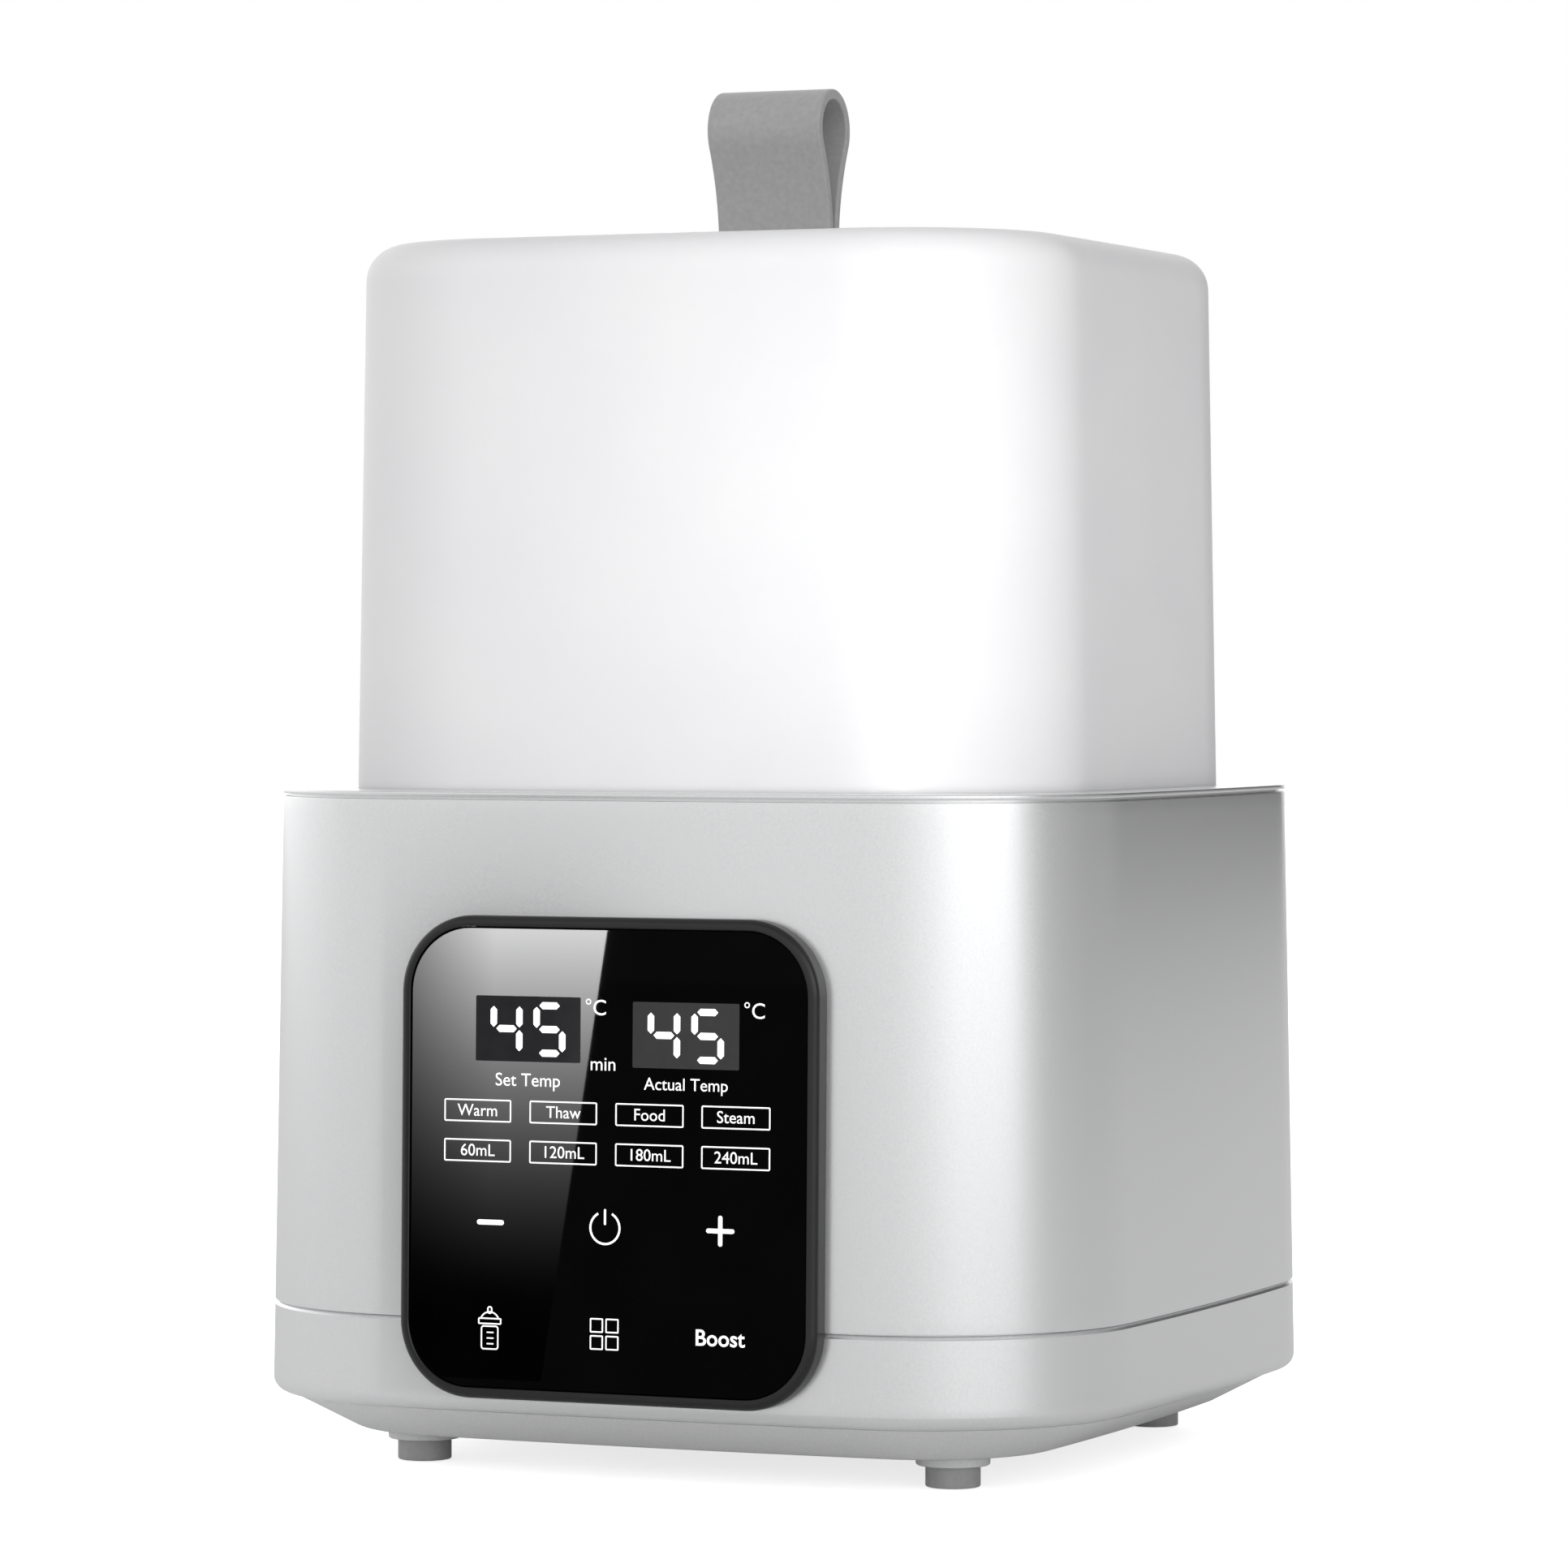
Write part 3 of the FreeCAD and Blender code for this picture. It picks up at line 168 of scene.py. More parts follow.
def high(node):
    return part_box(node)[1] / MM


# ---- drawing in edit mode -----------------------------------------------------
def begin(name):
    """An empty mesh in edit mode, with nothing else selected."""
    bpy.ops.object.select_all(action="DESELECT")
    bpy.ops.mesh.primitive_plane_add(size=MM)
    piece = bpy.context.object
    piece.name = name
    bpy.ops.object.mode_set(mode="EDIT")
    bpy.ops.mesh.delete(type="VERT")
    return piece


def vertex(x, y, z):
    """One point to draw from."""
    bpy.ops.mesh.select_mode(type="VERT")
    bpy.ops.mesh.select_all(action="DESELECT")
    bpy.ops.mesh.primitive_plane_add(size=MM, location=(x * MM, y * MM, z * MM))
    bpy.ops.mesh.merge(type="CENTER")


def spin(centre, degrees, steps, axis=(0, 0, 1)):
    """Turns what is selected about a centre.  Spin runs left-handed, so the angle is negated."""
    place = [c * MM for c in centre]
    bpy.ops.mesh.spin(steps=steps, angle=-math.radians(degrees), center=place, axis=axis)


def mark(piece, number):
    """Numbers the selected points, so that one outline can be told from the next."""
    mesh = bmesh.from_edit_mesh(piece.data)
    layer = mesh.verts.layers.int.get("outline") or mesh.verts.layers.int.new("outline")
    for point in mesh.verts:
        if point.select:
            point[layer] = number
    bmesh.update_edit_mesh(piece.data)


def pick(piece, *numbers):
    """Selects the outlines with these numbers, and not the walls between them."""
    bpy.ops.mesh.select_mode(type="EDGE")
    bpy.ops.mesh.select_all(action="DESELECT")
    mesh = bmesh.from_edit_mesh(piece.data)
    layer = mesh.verts.layers.int["outline"]
    for edge in mesh.edges:
        ends = {point[layer] for point in edge.verts}
        if len(ends) == 1 and ends.pop() in numbers:
            edge.select = True
    bmesh.update_edit_mesh(piece.data)


class Outline:
    """A rounded rectangle with bowed sides, drawn by spinning a point round eight arc centres."""

    def __init__(self, half_x, half_y, corner_r, side_r):
        self.half_x = half_x
        self.half_y = half_y
        self.corner_r = corner_r
        self.side_r = side_r
        self.x_centre = half_x - side_r
        self.y_centre = half_y - side_r
        span = math.hypot(self.x_centre, self.y_centre)
        rise = math.sqrt((side_r - corner_r) ** 2 - span ** 2 / 4)
        self.corner_x = self.x_centre / 2 - self.y_centre / span * rise
        self.corner_y = self.y_centre / 2 - self.x_centre / span * rise
        self.east = math.degrees(math.atan2(self.corner_y, self.corner_x - self.x_centre))
        self.north = math.degrees(math.atan2(self.corner_x, self.corner_y - self.y_centre))

    def draw(self, offset, z):
        vertex(self.half_x + offset, 0, z)
        turn = 90 - self.east - self.north
        cx, cy = self.corner_x, self.corner_y
        sides = ((self.x_centre, 0), (0, self.y_centre), (-self.x_centre, 0), (0, -self.y_centre))
        corners = ((cx, cy), (-cx, cy), (-cx, -cy), (cx, -cy))
        halves = (self.east, self.north, self.east, self.north)
        spin((*sides[0], z), self.east, SIDE_STEPS // 2)
        for i in range(4):
            after = (i + 1) % 4
            spin((*corners[i], z), turn, CORNER_STEPS)
            whole = 1 if after == 0 else 2
            spin((*sides[after], z), halves[after] * whole, SIDE_STEPS * whole // 2)
        bpy.ops.mesh.select_linked()
        bpy.ops.mesh.remove_doubles(threshold=MERGE * MM)


def stack(piece, sections, closed=False, caps=(False, False)):
    """Draws outlines one after another, and bridges each to the next."""
    count = len(sections)
    before = sections[-1][2]
    for number, (outline, offset, z) in enumerate(sections, 1):
        # A bridge twists between two outlines at one height, so the second is set a hair off it
        if abs(z - before) < 0.5 * STEP:
            z -= STEP
        before = z
        outline.draw(offset, z)
        mark(piece, number)
    pairs = [(n, n + 1) for n in range(1, count)]
    if closed:
        pairs.append((count, 1))
    for pair in pairs:
        pick(piece, *pair)
        bpy.ops.mesh.bridge_edge_loops()
    for number, capped in zip((1, count), caps):
        if capped:
            pick(piece, number)
            bpy.ops.mesh.edge_face_add()
    bpy.ops.mesh.select_all(action="SELECT")
    bpy.ops.mesh.normals_make_consistent(inside=False)


def turned(outline, offset, z, radius, start, end, steps=6):
    """Sections round a moulded edge: its centre is given, and its angles from level, in degrees."""
    angles = [math.radians(start + (end - start) * i / steps) for i in range(steps + 1)]
    return [(outline, offset + radius * math.cos(a), z + radius * math.sin(a)) for a in angles]


def levels(outline, offset_at, start, end, steps):
    heights = [start + (end - start) * i / steps for i in range(steps + 1)]
    return [(outline, offset_at(z), z) for z in heights]


def leave(piece):
    """Back to object mode, without the working numbers."""
    bpy.ops.object.mode_set(mode="OBJECT")
    marks = piece.data.attributes.get("outline")
    if marks:
        piece.data.attributes.remove(marks)
    return piece


def alone(piece):
    bpy.ops.object.select_all(action="DESELECT")
    piece.select_set(True)
    bpy.context.view_layer.objects.active = piece


def modify(piece, kind, **settings):
    """Adds a modifier and applies it."""
    alone(piece)
    change = piece.modifiers.new(kind.title(), kind)
    for name, value in settings.items():
        setattr(change, name, value)
    bpy.ops.object.modifier_apply(modifier=change.name)


def carve(piece, tool, operation="DIFFERENCE"):
    """Takes one shape out of another, or adds it, and puts the tool away."""
    modify(piece, "BOOLEAN", object=tool, operation=operation, solver="EXACT")
    bpy.data.objects.remove(tool)


def soften(piece, width, angle):
    """Rounds off the edges that turn by more than an angle."""
    modify(piece, "BEVEL", width=width * MM, segments=3,
           limit_method="ANGLE", angle_limit=math.radians(angle))


def smooth(piece, angle=32):
    """Smooth shading, with the large faces kept flat and the small ones taking up the turn."""
    alone(piece)
    bpy.ops.object.shade_smooth_by_angle(angle=math.radians(angle))
    modify(piece, "WEIGHTED_NORMAL", keep_sharp=True, weight=80)


def settle(piece):
    """Puts a piece's place into its mesh."""
    alone(piece)
    bpy.ops.object.transform_apply(location=True, rotation=True, scale=True)


def spread(piece, places):
    """A copy of a piece, with its own mesh, at each (x, y); the pattern piece is put away."""
    copies = []
    for x, y in places:
        twin = piece.copy()
        twin.data = piece.data.copy()
        bpy.context.scene.collection.objects.link(twin)
        twin.location = (x * MM, y * MM, 0)
        settle(twin)
        copies.append(twin)
    bpy.data.objects.remove(piece)
    return copies


def to_panel(piece):
    """Stands a piece drawn flat (X, up as Y, outwards as Z) on the drafted front wall."""
    lean = Matrix.Rotation(math.radians(90) - math.atan(CASING_DRAFT), 4, "X")
    front = -CASING.half_y - casing_offset(PANEL_CENTRE_Z)
    piece.matrix_world = Matrix.Translation((0, front * MM, PANEL_CENTRE_Z * MM)) @ lean
    settle(piece)


def hand_in(piece, body, slot, finish, *nodes):
    """Finishes a piece: its body, its finish and the CAD nodes that it stands for."""
    piece.data.materials.clear()
    piece.data.materials.append(finish)
    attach(piece, body)
    if nodes:
        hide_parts(*nodes)
    return piece


def rounded_plate(name, half_w, half_h, corner_r, bottom, top, x=0.0, y=0.0, steps=16):
    """A flat plate with rounded corners, left in edit mode with its top face selected."""
    piece = begin(name)
    centre = (x * MM, y * MM, bottom * MM)
    bpy.ops.mesh.primitive_plane_add(size=2 * MM, location=centre)
    bpy.ops.transform.resize(value=(half_w, half_h, 1), center_override=centre)
    bpy.ops.mesh.bevel(offset=corner_r * MM, segments=steps, affect="VERTICES")
    bpy.ops.mesh.select_all(action="SELECT")
    bpy.ops.mesh.extrude_region_move(TRANSFORM_OT_translate={"value": (0, 0, (top - bottom) * MM)})
    bpy.ops.mesh.select_mode(type="FACE")
    return piece


def select_level(piece, z, kind="EDGE"):
    """Selects the edges or faces that lie flat at one height."""
    bpy.ops.mesh.select_mode(type=kind)
    bpy.ops.mesh.select_all(action="DESELECT")
    mesh = bmesh.from_edit_mesh(piece.data)
    for item in (mesh.faces if kind == "FACE" else mesh.edges):
        if all(abs(point.co.z - z * MM) < 0.01 * MM for point in item.verts):
            item.select = True
    bmesh.update_edit_mesh(piece.data)


def drum(name, radius, bottom, top, sides=64):
    """A plain round bar, to be shaped further or used as a tool."""
    bpy.ops.object.select_all(action="DESELECT")
    middle = (bottom + top) / 2 * MM
    bpy.ops.mesh.primitive_cylinder_add(
        vertices=sides, radius=radius * MM, depth=(top - bottom) * MM, location=(0, 0, middle))
    piece = bpy.context.object
    piece.name = name
    settle(piece)
    return piece


# ---- the outlines, from the frame ---------------------------------------------
DECK_TOP_Z = high("top_deck").z
DECK_Z = DECK_TOP_Z - DECK_EDGE_H
CASING = Outline(high("top_deck").x, high("top_deck").y, CASING_CORNER_R, CASING_SIDE_R)
LID_Z = low("lid_dome").z
LID_SINK = LID_DRAFT * (DECK_TOP_Z - LID_Z)
LID = Outline(high("lid_dome").x - LID_SINK, high("lid_dome").y - LID_SINK, LID_CORNER_R, LID_SIDE_R)


def casing_offset(z):
    return CASING_DRAFT * (DECK_Z - z)


def lid_offset(z):
    return LID_DRAFT * (DECK_TOP_Z - z)


# ---- materials ----------------------------------------------------------------
def linear(hex_colour):
    """An sRGB hex colour as linear RGBA."""
    parts = [int(hex_colour[i:i + 2], 16) / 255 for i in (1, 3, 5)]
    return [c / 12.92 if c <= 0.04045 else ((c + 0.055) / 1.055) ** 2.4 for c in parts] + [1.0]


def add(tree, kind, settings=None, **links):
    """Adds a node, with its settings, values and incoming links."""
    node = tree.nodes.new(kind)
    for name, value in (settings or {}).items():
        setattr(node, name, value)
    for name, value in links.items():
        socket = node.inputs[name.replace("_", " ")]
        if isinstance(value, bpy.types.NodeSocket):
            tree.links.new(value, socket)
        else:
            socket.default_value = value
    return node


def material(name, **values):
    """A Principled material, with constant values on the shader's own sockets."""
    made = bpy.data.materials.new(name)
    made.use_nodes = True
    shader = made.node_tree.nodes["Principled BSDF"]
    for socket, value in values.items():
        shader.inputs[socket.replace("_", " ")].default_value = value
    return made, made.node_tree, shader


def ramp(tree, source, *stops):
    """A colour ramp through (position, hex colour or grey level) stops."""
    node = add(tree, "ShaderNodeValToRGB", Fac=source)
    while len(node.color_ramp.elements) < len(stops):
        node.color_ramp.elements.new(1.0)
    for element, (place, colour) in zip(node.color_ramp.elements, stops):
        element.position = place
        element.color = [colour] * 3 + [1.0] if isinstance(colour, float) else linear(colour)
    return node.outputs["Color"]


def grain(tree, size_mm, detail=2.0, stretch=(1, 1, 1)):
    """Noise whose features are about size_mm across, in object coordinates."""
    place = add(tree, "ShaderNodeTexCoord").outputs["Object"]
    mapping = add(tree, "ShaderNodeMapping", Vector=place, Scale=stretch)
    noise = add(tree, "ShaderNodeTexNoise",
                Vector=mapping.outputs["Vector"], Scale=1 / (size_mm * MM), Detail=detail)
    return noise.outputs["Fac"]


def colour(tree, shader, pattern, *stops):
    """Colours the shader by a pattern, through (position, hex colour) stops."""
    tree.links.new(ramp(tree, pattern, *stops), shader.inputs["Base Color"])


def bump(tree, shader, height, strength, depth_mm):
    """Raises the surface by a pattern, up to a depth."""
    node = add(tree, "ShaderNodeBump", Strength=strength, Distance=depth_mm * MM, Height=height)
    tree.links.new(node.outputs["Normal"], shader.inputs["Normal"])


def vary(tree, shader, socket, source, least, most):
    """Spreads a pattern between two values of one of the shader's sockets."""
    spread = add(tree, "ShaderNodeMapRange", Value=source, To_Min=least, To_Max=most)
    tree.links.new(spread.outputs["Result"], shader.inputs[socket])


def pearl_paint():
    """Satin pearl lacquer sprayed on moulded ABS: soft wide highlights and a faint fine sparkle."""
    made, tree, shader = material("pearl_lacquer", Metallic=0.8)
    flake = grain(tree, 0.35, 3.0)
    colour(tree, shader, flake, (0.3, "#e2e3e4"), (0.7, "#ebebec"))
    vary(tree, shader, "Roughness", flake, 0.22, 0.28)
    bump(tree, shader, grain(tree, 1.6, 3.0), 0.05, 0.02)
    return made


def cover_abs():
    """Moulded white ABS with a fine spark-eroded texture: flat and slightly grainy."""
    made, tree, shader = material("textured_white_abs", Roughness=0.55)
    pits = grain(tree, 0.5, 4.0)
    colour(tree, shader, pits, (0.3, "#dcdddd"), (0.7, "#e8e8e8"))
    bump(tree, shader, pits, 0.25, 0.04)
    return made


def frosted_pp():
    """Frosted polypropylene: light soaks through it, so it glows evenly and hides what is behind."""
    made, tree, shader = material(
        "frosted_polypropylene", Roughness=0.42, Subsurface_Weight=0.35, Subsurface_Scale=0.004, IOR=1.49)
    shader.inputs["Subsurface Radius"].default_value = (1.0, 1.0, 1.0)
    cloud = grain(tree, 30.0, 1.0)
    colour(tree, shader, cloud, (0.2, "#dadadc"), (0.8, "#dededf"))
    frost = grain(tree, 0.4, 3.0)
    vary(tree, shader, "Roughness", frost, 0.38, 0.48)
    bump(tree, shader, frost, 0.08, 0.02)
    return made


def silicone():
    """Grey silicone rubber: dull, slightly waxy, with a soft edge sheen."""
    made, tree, shader = material("grey_silicone_rubber", Sheen_Weight=0.3, Sheen_Roughness=0.5)
    dust = grain(tree, 1.2, 4.0)
    colour(tree, shader, dust, (0.3, "#a2a2a3"), (0.7, "#adadae"))
    vary(tree, shader, "Roughness", dust, 0.52, 0.68)
    bump(tree, shader, grain(tree, 0.3, 2.0), 0.1, 0.02)
    return made


def black_abs():
    """Black ABS with a satin moulded face: its rounded edge draws a thin light line."""
    made, tree, shader = material("satin_black_abs", Roughness=0.3)
    fine = grain(tree, 0.4, 3.0)
    colour(tree, shader, fine, (0.3, "#0b0b0d"), (0.7, "#121214"))
    vary(tree, shader, "Roughness", fine, 0.26, 0.36)
    bump(tree, shader, fine, 0.04, 0.02)
    return made


def black_glass():
    """Back-painted cover glass: deep black with mirror-like reflections and a hint of handling."""
    made, tree, shader = material("back_painted_glass", Roughness=0.03, Specular_IOR_Level=0.03)
    smear = grain(tree, 14.0, 3.0)
    colour(tree, shader, smear, (0.3, "#020203"), (0.7, "#040405"))
    vary(tree, shader, "Roughness", smear, 0.008, 0.02)
    return made


def screen_ink():
    """White screen-printed ink, lit faintly from behind: even and matt."""
    made, tree, shader = material("white_screen_ink", Roughness=0.5, Emission_Strength=0.55)
    shader.inputs["Emission Color"].default_value = linear("#ffffff")
    colour(tree, shader, grain(tree, 0.25), (0.2, "#ececec"), (0.8, "#ffffff"))
    return made


def lit_segment():
    """A white LED segment behind smoked glass: bright, its colour a little uneven at random."""
    made, tree, shader = material("white_led_segment", Roughness=0.4, Emission_Strength=1.0)
    shader.inputs["Emission Color"].default_value = linear("#ffffff")
    colour(tree, shader, grain(tree, 1.5), (0.2, "#f4f4f4"), (0.8, "#ffffff"))
    return made


def smoked_window():
    """The display's smoked filter: a dark grey pane, a little lighter than the black around it."""
    made, tree, shader = material("smoked_acrylic_filter", Roughness=0.12)
    colour(tree, shader, grain(tree, 3.0), (0.2, "#2a2a2c"), (0.8, "#303032"))
    return made


def speckled(name, low_colour, high_colour, size_mm, rough, depth_mm=0.02, strength=0.1, **values):
    """A material whose colour, roughness and surface all follow one fine pattern."""
    made, tree, shader = material(name, **values)
    pattern = grain(tree, size_mm, 3.0)
    colour(tree, shader, pattern, (0.3, low_colour), (0.7, high_colour))
    vary(tree, shader, "Roughness", pattern, *rough)
    bump(tree, shader, pattern, strength, depth_mm)
    return made


def brushed_plate():
    """Stainless steel turned on a lathe: fine rings that stretch each highlight across them."""
    made, tree, shader = material("turned_stainless_steel", Metallic=1.0)
    place = add(tree, "ShaderNodeTexCoord").outputs["Object"]
    rings = add(tree, "ShaderNodeTexWave", {"wave_type": "RINGS", "rings_direction": "Z"},
                Vector=place, Scale=1 / (3.2 * MM), Distortion=1.5, Detail=3.0)
    colour(tree, shader, rings.outputs["Fac"], (0.0, "#b4b4b2"), (1.0, "#c9c9c7"))
    vary(tree, shader, "Roughness", rings.outputs["Fac"], 0.24, 0.36)
    bump(tree, shader, rings.outputs["Fac"], 0.1, 0.02)
    return made


def inner_finishes():
    """Finishes for the pieces inside, by the record's slots."""
    return {
        # Milky moulded polypropylene, slightly see-through at its edges
        "basket_pp": speckled("natural_polypropylene", "#e3e5e6", "#ebeced", 0.8, (0.4, 0.5),
                              Subsurface_Weight=0.2, Subsurface_Scale=0.002),
        # The tub's glossier face, wiped clean each day
        "tank_pp": speckled("polished_polypropylene", "#dfe1e3", "#e8e9ea", 2.5, (0.22, 0.32)),
        # Translucent food-grade rubber, a little sticky with dust
        "seal_silicone": speckled("clear_silicone_rubber", "#d3d3cd", "#dededa", 0.6, (0.5, 0.65)),
        "steel_plate": brushed_plate(),
        # As-cast aluminium, dull with a pebbled skin
        "cast_aluminium": speckled("cast_aluminium", "#a9abad", "#bcbec0", 1.1, (0.45, 0.6), 0.06, 0.35,
                                   Metallic=1.0),
        # Bright zinc plate with a faint yellow cast
        "zinc_steel": speckled("zinc_plated_steel", "#b4b4ae", "#c8c8c2", 0.5, (0.25, 0.4), Metallic=1.0),
        # Green solder mask over copper
        "circuit_board": speckled("green_solder_mask", "#0f4427", "#155433", 1.5, (0.25, 0.4)),
        "component_black": speckled("black_epoxy_moulding", "#1b1b1c", "#242426", 0.4, (0.5, 0.65)),
        "component_blue": speckled("blue_phenolic_moulding", "#24467c", "#2c5190", 0.5, (0.4, 0.5)),
        "display_epoxy": speckled("dark_display_epoxy", "#232325", "#2b2b2d", 0.6, (0.2, 0.3)),
    }


PEARL = pearl_paint()
ABS_WHITE = cover_abs()
FROSTED = frosted_pp()
SILICONE = silicone()
ABS_BLACK = black_abs()
GLASS = black_glass()
INK = screen_ink()
LIT = lit_segment()
SMOKED = smoked_window()
FINISHES = inner_finishes()
FINISHES.update(pearl_paint=PEARL, white_abs=ABS_WHITE, frosted_pp=FROSTED, grey_silicone=SILICONE,
                black_abs=ABS_BLACK, panel_glass=GLASS)


def finish_frame_nodes():
    """Gives each piece from the frame the finish of its slot."""
    for node in frame["nodes"].values():
        for place in node.material_slots:
            place.material = FINISHES[place.material.name]


# ---- lid ----------------------------------------------------------------------
def frosted_lid():
    """A closed wall, drawn from the middle of its ceiling down the inside and up the outside."""
    top = high("lid_dome").z
    roof = top - LID_WALL
    inner_r = LID_TOP_R - LID_WALL
    rim = LID_RIM_R
    hold = 4.0
    piece = begin("frosted_lid")
    inner_top = lid_offset(roof - inner_r) - LID_WALL - inner_r
    outer_top = lid_offset(top - LID_TOP_R) - LID_TOP_R
    sections = turned(LID, inner_top, roof - inner_r, inner_r, 90, 2, 8)
    sections += levels(LID, lambda z: lid_offset(z) - LID_WALL, roof - inner_r - 2 * hold, LID_Z + rim, 8)
    sections += turned(LID, lid_offset(LID_Z) - LID_WALL + rim, LID_Z + rim, rim, 180, 270, 3)
    sections += turned(LID, lid_offset(LID_Z) - rim, LID_Z + rim, rim, 270, 360, 3)
    sections += levels(LID, lid_offset, LID_Z + rim + hold, top - LID_TOP_R - hold, 10)
    sections += turned(LID, outer_top, top - LID_TOP_R, LID_TOP_R, 1, 90, 12)
    stack(piece, sections, caps=(True, True))
    leave(piece)
    x = (low("lid_strap").x + high("lid_strap").x) / 2
    half_w = (high("lid_strap").x - low("lid_strap").x) / 2 + SLOT_FIT
    half_d = STRAP_HALF_GAP + STRAP_T + SLOT_FIT
    slot = rounded_plate("slot_tool", half_w, half_d, SLOT_CORNER_R, roof - REACH, top + REACH, x, 0, 4)
    leave(slot)
    carve(piece, slot)
    smooth(piece)
    return hand_in(piece, "lid", "frosted_pp", FROSTED, "lid_dome")


def strap_loop():
    """One strip of silicone, from flange to flange round the loop, then given its width and soft edges."""
    base = high("lid_dome").z
    half = STRAP_HALF_GAP + STRAP_T / 2
    roof = base - LID_WALL
    left = low("lid_strap").x
    width = high("lid_strap").x - left
    swing = (half ** 2 + STRAP_LOOP_H ** 2 - STRAP_LOOP_R ** 2) / (2 * (STRAP_LOOP_R - half))
    bow = math.degrees(math.atan2(STRAP_LOOP_H, half + swing))
    flange_z = roof - STRAP_T / 2
    flange_y = half + STRAP_T / 2 + STRAP_FLANGE
    across = (1, 0, 0)
    piece = begin("strap_loop")
    vertex(left, -flange_y, flange_z)
    bpy.ops.mesh.extrude_region_move(
        TRANSFORM_OT_translate={"value": (0, (flange_y - half - STRAP_BEND) * MM, 0)})
    spin((left, -half - STRAP_BEND, flange_z + STRAP_BEND), 90, 6, across)
    bpy.ops.mesh.extrude_region_move(
        TRANSFORM_OT_translate={"value": (0, 0, (base - flange_z - STRAP_BEND) * MM)})
    spin((left, -half - swing, base), bow, 18, across)
    spin((left, 0, base + STRAP_LOOP_H), -180 - 2 * bow, 40, across)
    spin((left, half + swing, base), bow, 18, across)
    bpy.ops.mesh.extrude_region_move(
        TRANSFORM_OT_translate={"value": (0, 0, -(base - flange_z - STRAP_BEND) * MM)})
    spin((left, half + STRAP_BEND, flange_z + STRAP_BEND), 90, 6, across)
    bpy.ops.mesh.extrude_region_move(
        TRANSFORM_OT_translate={"value": (0, (flange_y - half - STRAP_BEND) * MM, 0)})
    bpy.ops.mesh.select_all(action="SELECT")
    bpy.ops.mesh.remove_doubles(threshold=MERGE * MM)
    bpy.ops.mesh.select_all(action="SELECT")
    bpy.ops.mesh.extrude_region_move(TRANSFORM_OT_translate={"value": (width * MM, 0, 0)})
    bpy.ops.mesh.select_all(action="SELECT")
    bpy.ops.mesh.normals_make_consistent(inside=False)
    leave(piece)
    modify(piece, "SOLIDIFY", thickness=(STRAP_T - STRAP_SKIN) * MM, offset=0.0, use_even_offset=True)
    soften(piece, STRAP_EDGE, 50)
    smooth(piece, 40)
    return hand_in(piece, "lid", "grey_silicone", SILICONE, "lid_strap")


# ---- casing -------------------------------------------------------------------
def deck_ring():
    """The thin deck, its recess for the lid and the ledge that the lid stands on."""
    edge = DECK_EDGE_R
    foot = DECK_FOOT_R
    bevel = LEDGE_BEVEL
    top = DECK_TOP_Z
    ledge = top - LEDGE_DEPTH
    shell_top = DECK_Z - DECK_SHADOW_GAP
    tub = LID_FIT + TUB_T
    sections = [(CASING, -DECK_LAND, shell_top), (CASING, -DECK_LAND, DECK_Z)]
    sections += turned(CASING, -foot, DECK_Z + foot, foot, 270, 360, 2)
    sections += turned(CASING, -edge, top - edge, edge, 0, 90, 4)
    sections += [(LID, 2 * HOLD, top)]
    sections += turned(LID, LID_FIT + RECESS_EDGE_R, top - RECESS_EDGE_R, RECESS_EDGE_R, 90, 180, 4)
    sections += [(LID, LID_FIT, ledge + bevel), (LID, LID_FIT - bevel, ledge)]
    sections += [(LID, -TANK_INSET + bevel, ledge), (LID, -TANK_INSET, ledge - bevel)]
    sections += [(LID, -TANK_INSET, ledge - LEDGE_T), (LID, tub, ledge - LEDGE_T), (LID, tub, shell_top)]
    piece = begin("deck_ring")
    stack(piece, sections, closed=True)
    leave(piece)
    smooth(piece)
    return hand_in(piece, "casing", "pearl_paint", PEARL, "top_deck")


def panel_opening():
    """The hole in the front wall that the panel's box passes through."""
    half_w, half_h = BOX_HALF_W + BOX_FIT, BOX_HALF_H + BOX_FIT
    tool = rounded_plate(
        "window_tool", half_w, half_h, BOX_CORNER_R + BOX_FIT, -BOX_DEPTH - BOX_ROOM, REACH, steps=6)
    leave(tool)
    to_panel(tool)
    return tool


def casing_shell():
    """The drafted, bowed wall between the seam and the deck, with a soft lower and upper edge."""
    bottom, top = low("outer_shell").z, high("outer_shell").z
    soft = SHELL_EDGE_R
    sections = turned(CASING, casing_offset(bottom) - soft, bottom + soft, soft, 270, 360, 3)
    sections += levels(CASING, casing_offset, bottom + HOLD, top - HOLD, 12)
    sections += turned(CASING, casing_offset(top) - soft, top - soft, soft, 0, 90, 3)
    sections += levels(CASING, lambda z: casing_offset(z) - CASING_WALL, top, bottom, 6)
    piece = begin("casing_shell")
    stack(piece, sections, closed=True)
    leave(piece)
    carve(piece, panel_opening())
    smooth(piece)
    return hand_in(piece, "casing", "pearl_paint", PEARL, "outer_shell")


